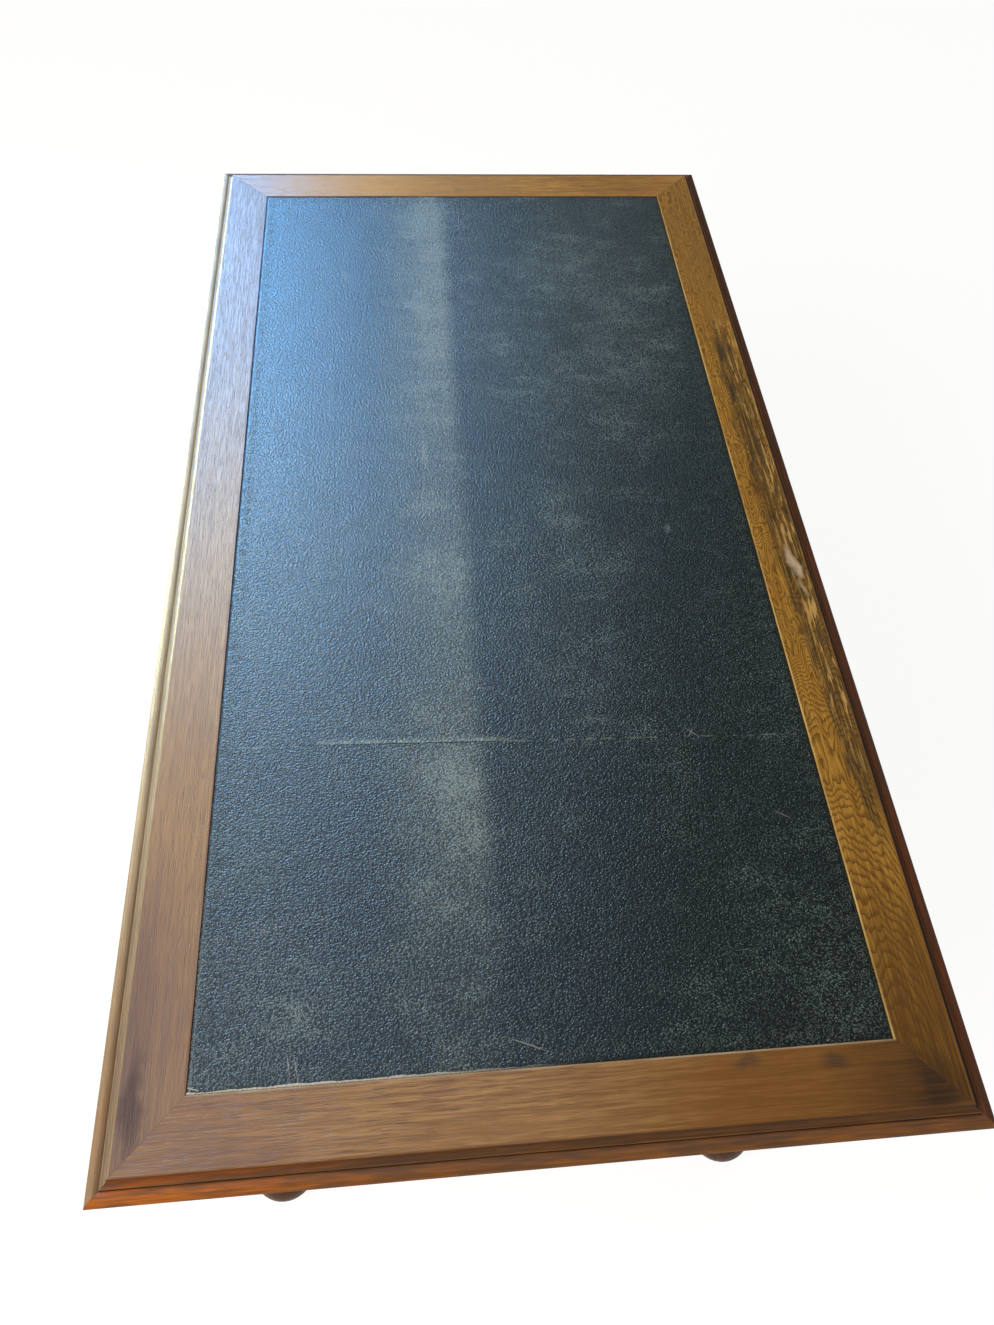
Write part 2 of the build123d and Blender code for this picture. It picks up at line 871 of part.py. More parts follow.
def keyhole(radius, slot_half, slot_drop):
    """Round hole with a slot below it for the bit, about the key's axis at the origin."""
    Circle(radius)
    with Locations((0, -slot_drop / 2)):
        Rectangle(2 * slot_half, slot_drop)


def facing(y):
    """Plane across the key's axis that faces the user."""
    return Plane((0, y, key_z), x_dir=(1, 0, 0), z_dir=(0, -1, 0))


keyhole_radius = key_shank / 2 + keyhole_gap
keyhole_slot = key_bit_width / 2 + keyhole_gap
keyhole_drop = key_bit_length + keyhole_gap


def drawer(bay, bay_low, bay_high, run_z):
    low_x = bay_low + drawer_side_gap
    high_x = bay_high - drawer_side_gap
    low_z = run_z + drawer_run_gap
    high_z = top_rail_bottom - drawer_top_gap
    groove_low = low_z + bottom_rise
    groove_high = groove_low + bottom_thickness
    back_high = high_z - back_drop
    tail_root = drawer_inside_front
    tail_tip = drawer_face + front_lap
    shoulder = drawer_end - back_thickness

    with BuildPart() as front:
        block((low_x, drawer_face, low_z), (high_x, drawer_inside_front, high_z))
        with BuildSketch(Plane.XZ.offset(-drawer_face)):
            with Locations(((low_x + high_x) / 2, (low_z + high_z) / 2)):
                Rectangle(high_x - low_x - 2 * field_margin, high_z - low_z - 2 * field_margin)
        extrude(amount=drawer_setback, taper=45)
        for start, reach in ((low_x, side_thickness), (high_x, -side_thickness)):
            with BuildSketch(side_view(start)):
                tails(low_z, high_z, tail_root, tail_tip)
            extrude(amount=reach, mode=Mode.SUBTRACT)
        block(
            (low_x + side_thickness, drawer_inside_front - bottom_groove - bottom_slack, groove_low),
            (high_x - side_thickness, drawer_inside_front, groove_high),
            Mode.SUBTRACT,
        )
        if bay == "centre":
            with BuildSketch(facing(drawer_inside_front)):
                keyhole(keyhole_radius, keyhole_slot, keyhole_drop)
            extrude(amount=front_thickness + drawer_setback, mode=Mode.SUBTRACT)
            block(
                (-lock_width / 2 - lock_fit, drawer_inside_front - lock_depth, high_z - lock_height - lock_fit),
                (lock_width / 2 + lock_fit, drawer_inside_front, high_z),
                Mode.SUBTRACT,
            )
    save(front, f"drawer_{bay}_front")

    for hand, outer, inward in (("left", low_x, 1), ("right", high_x, -1)):
        inner = outer + inward * side_thickness
        groove_floor = inner - inward * bottom_groove
        with BuildPart() as side:
            with BuildSketch(side_view(outer)):
                with BuildLine():
                    Polyline(
                        (tail_root, low_z),
                        (drawer_end, low_z),
                        (drawer_end, groove_high),
                        (shoulder, groove_high),
                        (shoulder, back_high),
                        (drawer_end, back_high),
                        (drawer_end, high_z),
                        (tail_root, high_z),
                        close=True,
                    )
                make_face()
                tails(low_z, high_z, tail_root, tail_tip)
                tails(groove_high, back_high, shoulder, drawer_end)
            extrude(amount=inward * side_thickness)
            block(
                (min(inner, groove_floor), tail_root, groove_low),
                (max(inner, groove_floor), drawer_end, groove_high),
                Mode.SUBTRACT,
            )
        save(side, f"drawer_{bay}_side_{hand}")

    with BuildPart() as back:
        block((low_x, shoulder, groove_high), (high_x, drawer_end, back_high))
        for start, reach in ((low_x, side_thickness), (high_x, -side_thickness)):
            with BuildSketch(side_view(start)):
                tails(groove_high, back_high, shoulder, drawer_end)
            extrude(amount=reach, mode=Mode.SUBTRACT)
    save(back, f"drawer_{bay}_back")

    inset = side_thickness - bottom_groove + bottom_slack
    with BuildPart() as bottom:
        block(
            (low_x + inset, drawer_inside_front, groove_low),
            (high_x - inset, drawer_end, groove_high),
        )
        block(
            (low_x + side_thickness, drawer_inside_front - bottom_groove, groove_low),
            (high_x - side_thickness, drawer_inside_front, groove_high),
        )
    save(bottom, f"drawer_{bay}_bottom")


for bay, low_x, high_x, run_z in bays:
    drawer(bay, low_x, high_x, run_z)

# Drop pulls: a round plate and post, and a turned pendant hung from a pin in a fork
field_plane = -front_plane
pivot_y = field_plane - pivot_reach
pendant_turning_shares = (
    (0.06, 0.20, 0.34, 0.20),
    (0.05, 0.30, 0.30, 0.30),
    (0.38, 0.30, 1.00, 0.42),
    (0.35, 0.42, 0.36, 0.40),
    (0.16, 0.46, 0.72, 0.60),
)


def pull_places(bay, low_x, high_x, run_z):
    """Where the pivots of a drawer's pulls stand, as (x, z)."""
    middle = (low_x + high_x) / 2
    z = (run_z + top_rail_bottom) / 2 + pull_raise
    if bay == "centre":
        return [(middle - centre_pull_spacing / 2, z), (middle + centre_pull_spacing / 2, z)]
    return [(middle, z)]


def pull_plates(name, places):
    with BuildPart() as plates:
        for x, z in places:
            face = Plane((x, field_plane, z), x_dir=(1, 0, 0), z_dir=(0, -1, 0))
            across = Plane((x - post_width / 2, pivot_y, z), x_dir=(0, 1, 0), z_dir=(1, 0, 0))
            with BuildSketch(face):
                Circle(plate_diameter / 2)
            extrude(amount=plate_thickness)
            with BuildSketch(face.offset(plate_thickness)):
                Circle(boss_diameter / 2)
            extrude(amount=boss_height, taper=45)
            block(
                (x - post_width / 2, pivot_y, z - post_height / 2),
                (x + post_width / 2, field_plane - plate_thickness, z + post_height / 2),
            )
            with BuildSketch(across):
                Circle(eye_radius)
            extrude(amount=post_width)
            with BuildSketch(across):
                Circle(pin_radius + running_gap)
            extrude(amount=post_width, mode=Mode.SUBTRACT)
    save(plates, name)


def drop(name, x, z):
    fork_inner = post_width / 2 + fork_gap
    fork_outer = fork_inner + fork_cheek
    yoke_top = z - crotch_drop
    yoke_low = yoke_top - yoke_height
    across = Plane((x - fork_outer, pivot_y, z), x_dir=(0, 1, 0), z_dir=(1, 0, 0))
    with BuildPart() as pendant:
        for cheek in (0.0, fork_inner + fork_outer):
            with BuildSketch(across.offset(cheek)):
                Circle(fork_radius)
                with Locations((0, (yoke_low - z) / 2)):
                    Rectangle(2 * fork_radius, z - yoke_low)
            extrude(amount=fork_cheek)
        with BuildSketch(across):
            Circle(pin_radius)
        extrude(amount=2 * fork_outer)
        block(
            (x - fork_outer, pivot_y - fork_radius, yoke_low),
            (x + fork_outer, pivot_y + fork_radius, yoke_top),
        )
        with BuildSketch(upright(x, pivot_y)):
            with BuildLine():
                turning(pendant_turning_shares, yoke_low - pendant_length, pendant_length, pendant_radius)
            make_face()
        revolve(axis=Axis((x, pivot_y, 0), (0, 0, 1)))
    save(pendant, name)


drop_names = {"left": ["left"], "centre": ["centre_left", "centre_right"], "right": ["right"]}
for bay, low_x, high_x, run_z in bays:
    places = pull_places(bay, low_x, high_x, run_z)
    pull_plates(f"pull_plate_{bay}", places)
    for name, (x, z) in zip(drop_names[bay], places):
        drop(f"drop_{name}", x, z)

# Lock: a folded steel case let into the back of the centre drawer's front, open above for
# the bolt, with two studs that guide the bolt
drawer_top = top_rail_bottom - drawer_top_gap
lock_low = drawer_top - lock_height
lock_front = drawer_inside_front - lock_depth
bolt_low = key_z + bolt_above_key
bolt_high = drawer_top - bolt_top_sink

with BuildPart() as lock_case:
    block((-lock_width / 2, lock_front, lock_low), (lock_width / 2, drawer_inside_front, drawer_top))
    block(
        (-lock_width / 2 + lock_wall, lock_front + lock_wall, lock_low + lock_wall),
        (lock_width / 2 - lock_wall, drawer_inside_front - lock_wall, drawer_top - lock_wall),
        Mode.SUBTRACT,
    )
    block(
        (-bolt_width / 2 - bolt_slack, bolt_front - bolt_slack, drawer_top - lock_wall),
        (bolt_width / 2 + bolt_slack, bolt_rear + bolt_slack, drawer_top),
        Mode.SUBTRACT,
    )
    stud_x = bolt_width / 2 + guide_stud_gap + guide_stud / 2
    with BuildSketch(Plane((0, drawer_inside_front, (bolt_low + bolt_high) / 2), x_dir=(1, 0, 0), z_dir=(0, -1, 0))):
        with Locations((-stud_x, 0), (stud_x, 0)):
            Circle(guide_stud / 2)
    extrude(amount=lock_depth)
    with BuildSketch(facing(lock_front + lock_wall)):
        keyhole(keyhole_radius, keyhole_slot, keyhole_drop)
    extrude(amount=lock_wall, mode=Mode.SUBTRACT)
    with BuildSketch(facing(drawer_inside_front)):
        Circle(key_shank / 2 + running_gap)
    extrude(amount=lock_wall, mode=Mode.SUBTRACT)
save(lock_case, "lock_case")

with BuildPart() as lock_bolt:
    block((-bolt_width / 2, bolt_front, bolt_low), (bolt_width / 2, bolt_rear, bolt_high))
save(lock_bolt, "lock_bolt")

# Escutcheon: an oval plate round the keyhole
with BuildPart() as escutcheon:
    with BuildSketch(facing(field_plane)):
        with Locations((0, -key_bit_length / 4)):
            Ellipse(escutcheon_width / 2, escutcheon_height / 2)
        with Locations((0, 0)):
            Circle(keyhole_radius, mode=Mode.SUBTRACT)
        with Locations((0, -keyhole_drop / 2)):
            Rectangle(2 * keyhole_slot, keyhole_drop, mode=Mode.SUBTRACT)
    extrude(amount=escutcheon_thickness)
save(escutcheon, "escutcheon")

# Key: flat round bow, collar, shank through the lock, and a bit that lifts the bolt
collar_rear = field_plane - escutcheon_thickness - key_collar_gap
bow_y = collar_rear - key_collar_length - key_bow_radius

with BuildPart() as drawer_key:
    with BuildSketch(facing(drawer_inside_front)):
        Circle(key_shank / 2)
    extrude(amount=drawer_inside_front - bow_y)
    with BuildSketch(facing(collar_rear)):
        Circle(key_collar / 2)
    extrude(amount=key_collar_length)
    block(
        (-key_bit_width / 2, lock_front + lock_wall + bolt_slack, key_z - key_bit_length),
        (key_bit_width / 2, lock_front + lock_wall + bolt_slack + key_bit_depth, key_z),
    )
    with BuildSketch(Plane((-key_bow_thickness / 2, bow_y, key_z), x_dir=(0, 1, 0), z_dir=(1, 0, 0))):
        Circle(key_bow_radius)
        with Locations((-key_bow_radius / 2, 0)):
            Circle(key_bow_hole / 2, mode=Mode.SUBTRACT)
    extrude(amount=key_bow_thickness)
save(drawer_key, "drawer_key")
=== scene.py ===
import json
from math import radians

import bmesh
import bpy
from mathutils import Matrix, Vector, noise

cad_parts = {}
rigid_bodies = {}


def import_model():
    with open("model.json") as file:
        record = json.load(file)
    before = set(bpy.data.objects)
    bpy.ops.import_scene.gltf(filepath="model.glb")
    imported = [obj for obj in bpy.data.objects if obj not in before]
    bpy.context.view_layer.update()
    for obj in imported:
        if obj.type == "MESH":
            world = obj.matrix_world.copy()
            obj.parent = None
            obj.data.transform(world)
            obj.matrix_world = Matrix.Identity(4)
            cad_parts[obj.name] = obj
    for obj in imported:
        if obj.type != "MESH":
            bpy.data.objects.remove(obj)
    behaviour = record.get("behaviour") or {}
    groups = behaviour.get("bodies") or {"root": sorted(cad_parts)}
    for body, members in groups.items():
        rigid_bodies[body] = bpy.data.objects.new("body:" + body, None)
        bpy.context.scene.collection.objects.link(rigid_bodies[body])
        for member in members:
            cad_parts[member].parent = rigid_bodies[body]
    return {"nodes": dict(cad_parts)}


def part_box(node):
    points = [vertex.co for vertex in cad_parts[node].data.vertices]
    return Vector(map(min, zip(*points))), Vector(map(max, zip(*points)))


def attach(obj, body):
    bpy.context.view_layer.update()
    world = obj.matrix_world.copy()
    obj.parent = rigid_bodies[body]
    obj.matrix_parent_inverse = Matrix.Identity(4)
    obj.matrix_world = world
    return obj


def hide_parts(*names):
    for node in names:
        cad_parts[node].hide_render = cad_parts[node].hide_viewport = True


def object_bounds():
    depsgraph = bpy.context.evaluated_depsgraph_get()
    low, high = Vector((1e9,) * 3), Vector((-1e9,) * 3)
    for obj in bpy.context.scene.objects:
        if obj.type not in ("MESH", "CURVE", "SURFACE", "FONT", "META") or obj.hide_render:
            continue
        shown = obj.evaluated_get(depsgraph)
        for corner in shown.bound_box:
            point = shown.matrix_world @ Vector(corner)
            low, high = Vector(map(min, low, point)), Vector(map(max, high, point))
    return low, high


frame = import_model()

cad_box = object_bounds()
nodes = frame["nodes"]

# Bun feet: oak, turned, stained dark and waxed. Each is glued up into its leg by a spigot.
# The stain lies darkest in the pores and the wax gives a soft, uneven shine.
MM = 0.001
RINGS = (2.6, 120.0)
FIBRES = (1.3, 34.0)
PORES = (0.8, 24.0)
CLOUDS = (70.0, 190.0)
RAYS = (9.0, 2.6)
BOARDS = (40.0, 160.0)
PORE_SHARE = 0.45
SILKY = (1.5, 1.45, 1.35, 1.0)
GRAIN_DEPTH = -0.15 * MM
RGBA = {"data_type": "RGBA"}
TIMES = {"operation": "MULTIPLY"}
TIMES_ADD = {"operation": "MULTIPLY_ADD"}
HIGHER = {"operation": "MAXIMUM"}


def linear(colour):
    """An sRGB hex colour as linear red, green, blue and alpha."""
    channels = [int(colour[i:i + 2], 16) / 255 for i in (1, 3, 5)]
    return [c / 12.92 if c <= 0.04045 else ((c + 0.055) / 1.055) ** 2.4 for c in channels] + [1.0]


def feed(tree, node, inputs):
    """Sets a node's inputs: a node or socket is linked, a hex colour made linear, a value set."""
    for key, value in dict(inputs).items():
        if isinstance(value, bpy.types.Node):
            value = next(output for output in value.outputs if output.enabled)
        if isinstance(value, bpy.types.NodeSocket):
            tree.links.new(value, node.inputs[key])
        else:
            node.inputs[key].default_value = linear(value) if isinstance(value, str) else value
    return node


def add(tree, kind, inputs=(), **settings):
    """Adds a node with its settings and inputs; a kind without a family is a shader node."""
    node = tree.nodes.new(kind if kind.startswith("Geometry") else "ShaderNode" + kind)
    for name, value in settings.items():
        setattr(node, name, value)
    return feed(tree, node, inputs)


def new_material(name):
    material = bpy.data.materials.new(name)
    material.use_nodes = True
    tree = material.node_tree
    return material, tree, tree.nodes["Principled BSDF"]


def grain_noise(tree, along, across_mm, length_mm, detail=2.0, shift=0.0):
    """Noise drawn out along the grain: so many millimetres across and along it."""
    scale = [1000 / across_mm] * 3
    scale["XYZ".index(along)] = 1000 / length_mm
    place = add(tree, "TexCoord")
    grains = add(tree, "Mapping", {
        "Vector": place.outputs["Object"], "Scale": scale, "Location": [shift] * 3,
    })
    return add(tree, "TexNoise", {"Vector": grains, "Scale": 1.0, "Detail": detail})


def oak_wood(tree, along, pale, deep, pore, shift, growth=0.32, clouding=0.18):
    """Oak's colour from its growth rings, fibres and open pores, its tone and its hollows.

    Their sizes are millimetres across and along the grain. Fibres and pores are drawn about twice
    as coarse as real ones, so that they show.
    """
    rings = add(tree, "MapRange", {0: grain_noise(tree, along, *RINGS, 1.0, shift), 1: 0.40, 2: 0.58})
    fibres = add(tree, "MapRange", {0: grain_noise(tree, along, *FIBRES, 1.0, shift), 1: 0.36, 2: 0.64})
    pores = add(tree, "MapRange", {0: grain_noise(tree, along, *PORES, 1.0, shift), 1: 0.55, 2: 0.64})
    clouds = add(tree, "MapRange", {0: grain_noise(tree, along, *CLOUDS, 2.0, shift + 5.0), 1: 0.3, 2: 0.7})
    tone = add(tree, "Math", {0: rings, 1: growth}, **TIMES)
    tone = add(tree, "Math", {0: fibres, 1: 1.0 - growth - clouding, 2: tone}, **TIMES_ADD)
    tone = add(tree, "Math", {0: clouds, 1: clouding, 2: tone}, **TIMES_ADD)
    wood = add(tree, "Mix", {0: tone, 6: deep, 7: pale}, **RGBA)
    filled = add(tree, "Math", {0: pores, 1: PORE_SHARE}, **TIMES)
    wood = add(tree, "Mix", {0: filled, 6: wood, 7: pore}, **RGBA)
    hollow = add(tree, "Math", {0: fibres, 1: 0.35, 2: pores}, **TIMES_ADD)
    return wood, tone, hollow


def oak(name, along, pale, deep, pore, roughness=0.45, coat=0.03, shift=0.0, flecks=0.3, wear=None):
    """Oak with its grain along one axis: pale and deep wood, dark pores and the silky flecks of its rays."""
    material, tree, surface = new_material(name)
    wood, tone, hollow = oak_wood(tree, along, linear(pale), linear(deep), linear(pore), shift)
    rays = grain_noise(tree, along, *RAYS, 2.0, shift + 7.0)
    rays = add(tree, "MapRange", {0: rays, 1: 0.60, 2: 0.68, 4: flecks})
    boards = grain_noise(tree, along, *BOARDS, 1.0, shift + 9.0)
    boards = add(tree, "MapRange", {0: boards, 1: 0.46, 2: 0.60})
    rays = add(tree, "Math", {0: rays, 1: boards}, **TIMES)
    silky = add(tree, "Mix", {0: 1.0, 6: pale, 7: SILKY}, blend_type="MULTIPLY", **RGBA)
    wood = add(tree, "Mix", {0: rays, 6: wood, 7: silky}, **RGBA)
    if wear:
        wood = wear(tree, wood)
    feed(tree, surface, {
        "Base Color": wood,
        "Roughness": add(tree, "MapRange", {0: tone, 1: 0.2, 2: 0.8, 3: roughness + 0.08, 4: roughness - 0.05}),
        "Normal": add(tree, "Bump", {"Height": hollow, "Strength": 0.5, "Distance": GRAIN_DEPTH}),
        "Specular IOR Level": 0.20, "Coat Weight": coat, "Coat Roughness": 0.24,
    })
    return material


def finish(material, *names):
    """Gives CAD nodes their finish."""
    for name in names:
        mesh = nodes[name].data
        mesh.materials.clear()
        mesh.materials.append(material)


def floor_scuffs(tree, wood):
    """Dust and pale knocks near the floor, from brooms and shoes."""
    height = add(tree, "SeparateXYZ", {0: add(tree, "TexCoord").outputs["Object"]}).outputs["Z"]
    low = add(tree, "MapRange", {0: height, 1: 150 * MM, 2: 15 * MM, 3: 0.0, 4: 0.10})
    dust = add(tree, "Math", {0: low, 1: grain_noise(tree, "Z", 30.0, 20.0, 3.0, 55.0)}, **TIMES)
    chips = add(tree, "MapRange", {0: grain_noise(tree, "Z", 5.0, 7.0, 2.0, 57.0), 1: 0.70, 2: 0.76})
    chips = add(tree, "Math", {0: chips, 1: low}, **TIMES)
    wood = add(tree, "Mix", {0: dust, 6: wood, 7: "#8C7C68"}, **RGBA)
    return add(tree, "Mix", {0: chips, 6: wood, 7: "#B08A5C"}, **RGBA)


BASE_PALE = "#603616"
BASE_DEEP = "#3A1F0C"
BASE_PORE = "#1C0C04"
base_upright = oak("dark_waxed_oak_upright", "Z", BASE_PALE, BASE_DEEP, BASE_PORE, wear=floor_scuffs)
base_long = oak("dark_waxed_oak_long", "X", BASE_PALE, BASE_DEEP, BASE_PORE, shift=11.0)
base_cross = oak("dark_waxed_oak_cross", "Y", BASE_PALE, BASE_DEEP, BASE_PORE, shift=23.0)
finish(base_upright, "bun_feet")

# Legs: oak, square blocks with a turned stem between them, stained and waxed like the feet.
# They hold the tenons of the aprons, rails and stretchers.
finish(base_upright, *[f"leg_{end}_{side}" for end in ("front", "back") for side in ("left", "right")])

# Stretchers: three oak bars that tie the legs in an H, tenoned into the lower blocks.
# Feet have rubbed the centre one.
STRETCHER_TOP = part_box("stretcher_centre")[1][2]


def shoe_wear(tree, wood):
    """The stain rubbed through along the top of the stretcher, where shoes rest."""
    axes = add(tree, "SeparateXYZ", {0: add(tree, "TexCoord").outputs["Object"]})
    upper = add(tree, "MapRange", {0: axes.outputs["Z"], 1: STRETCHER_TOP - 5 * MM, 2: STRETCHER_TOP - 0.5 * MM})
    sat_at = add(tree, "Math", {0: axes.outputs["X"]}, operation="ABSOLUTE")
    sat_at = add(tree, "MapRange", {0: sat_at, 1: 0.42, 2: 0.12})
    rubbed = add(tree, "MapRange", {0: grain_noise(tree, "X", 9.0, 60.0, 4.0, 61.0), 1: 0.36, 2: 0.60, 4: 0.75})
    rubbed = add(tree, "Math", {0: rubbed, 1: upper}, **TIMES)
    rubbed = add(tree, "Math", {0: rubbed, 1: sat_at}, **TIMES)
    return add(tree, "Mix", {0: rubbed, 6: wood, 7: "#A67E50"}, **RGBA)


finish(base_cross, "stretcher_left", "stretcher_right")
finish(oak("dark_waxed_oak_stretcher", "X", BASE_PALE, BASE_DEEP, BASE_PORE, shift=11.0, wear=shoe_wear),
       "stretcher_centre")

# Aprons and front frame: oak boards and rails, tenoned and dovetailed into the legs.
# The same dark stain as the legs on all that shows.
finish(base_cross, "apron_left", "apron_right")
finish(base_long, "apron_back", "front_top_rail", "lower_rail_left", "lower_rail_right", "lower_rail_centre")
finish(base_upright, "muntin_left", "muntin_right")

# Partitions, runners, kickers, guides, stops and buttons: plain oak inside the frieze,
# planed and left unfinished, held with glue and, at the buttons, by steel screws.
RAW_PALE = "#C9A877"
RAW_DEEP = "#B3905F"
RAW_PORE = "#8C6B42"
raw_long = oak("unfinished_oak_long", "X", RAW_PALE, RAW_DEEP, RAW_PORE, 0.62, 0.0, 3.0)
raw_cross = oak("unfinished_oak_cross", "Y", RAW_PALE, RAW_DEEP, RAW_PORE, 0.62, 0.0, 17.0)
finish(raw_cross, "partition_left", "partition_right", "side_runners", "centre_runners", "kickers", "side_guides")
finish(raw_long, "drawer_stops", "top_buttons", "mitre_tongues", "core_panel")

steel, tree, surface = new_material("dull_steel")
dirt = add(tree, "TexNoise", {"Vector": add(tree, "TexCoord").outputs["Object"], "Scale": 260.0, "Detail": 4.0})
stain = add(tree, "MapRange", {0: dirt, 1: 0.4, 2: 0.7})
feed(tree, surface, {
    "Base Color": add(tree, "Mix", {0: stain, 6: "#8A8783", 7: "#4B4641"}, **RGBA),
    "Roughness": add(tree, "MapRange", {0: stain, 3: 0.34, 4: 0.6}), "Metallic": 1.0,
})
finish(steel, "top_screws")

# Drawers: stained oak fronts with a raised field, on dovetailed boxes of unfinished oak.
# Sides and back carry the tails and pins, and the bottom slides in a groove.
BAYS = ("left", "centre", "right")
for bay in BAYS:
    finish(base_long, f"drawer_{bay}_front")
    finish(raw_cross, f"drawer_{bay}_side_left", f"drawer_{bay}_side_right")
    finish(raw_long, f"drawer_{bay}_back", f"drawer_{bay}_bottom")

# Pulls, escutcheon: cast brass, once lacquered, gone brown where no hand rubs it.
# The pendants hang from a pin in the post of each plate.
brass, tree, surface = new_material("aged_brass")
age = add(tree, "TexNoise", {"Vector": add(tree, "TexCoord").outputs["Object"], "Scale": 190.0, "Detail": 5.0})
tarnish = add(tree, "MapRange", {0: age, 1: 0.38, 2: 0.66})
feed(tree, surface, {
    "Base Color": add(tree, "Mix", {0: tarnish, 6: "#C79A4B", 7: "#5E431F"}, **RGBA),
    "Roughness": add(tree, "MapRange", {0: tarnish, 3: 0.26, 4: 0.5}), "Metallic": 1.0,
})
finish(brass, "escutcheon", *[f"pull_plate_{bay}" for bay in BAYS])
finish(brass, "drop_left", "drop_centre_left", "drop_centre_right", "drop_right")

# Lock, bolt and key of the centre drawer: steel, folded case let into the back of the front.
# The key's bit lifts the bolt into the rail above.
finish(steel, "lock_case", "lock_bolt", "drawer_key")

# Top rails: four oak boards, quarter-sawn but for the flat-sawn front one, moulded on their
# outer edge and mitred. Stained, waxed and worn: pale along the arrises from wear and a painted
# highlight, dark in the groove from grime and painted shade.
HALF_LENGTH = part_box("top_rail_right")[1][0]
HALF_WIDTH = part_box("top_rail_back")[1][1]
TOP_Z = cad_box[1][2]
RAIL = 78.5 * MM
TOP_ARRIS = 20.9
COVE_ZONE = (20.6, 19.9)
FILLET_ZONE = (13.9, 13.4)
GROOVE_ZONE = (12.9, 12.6)
TORUS_ZONE = (12.2, 11.9)
DULL_ZONE = (20.5, 19.5)


def spot(tree, place, x, y, reach_x, reach_y, turn=0.0, core=0.2):
    """1 at a place on the top, falling to 0 at a reach along X and Y, which may be turned."""
    local = add(tree, "Mapping", {
        "Vector": place, "Location": (x, y, TOP_Z), "Rotation": (0, 0, radians(turn)), "Scale": (reach_x, reach_y, 1.0),
    }, vector_type="TEXTURE")
    length = add(tree, "VectorMath", {0: local}, operation="LENGTH").outputs["Value"]
    return add(tree, "MapRange", {0: length, 1: core, 2: 1.0, 3: 1.0, 4: 0.0}, interpolation_type="SMOOTHSTEP")


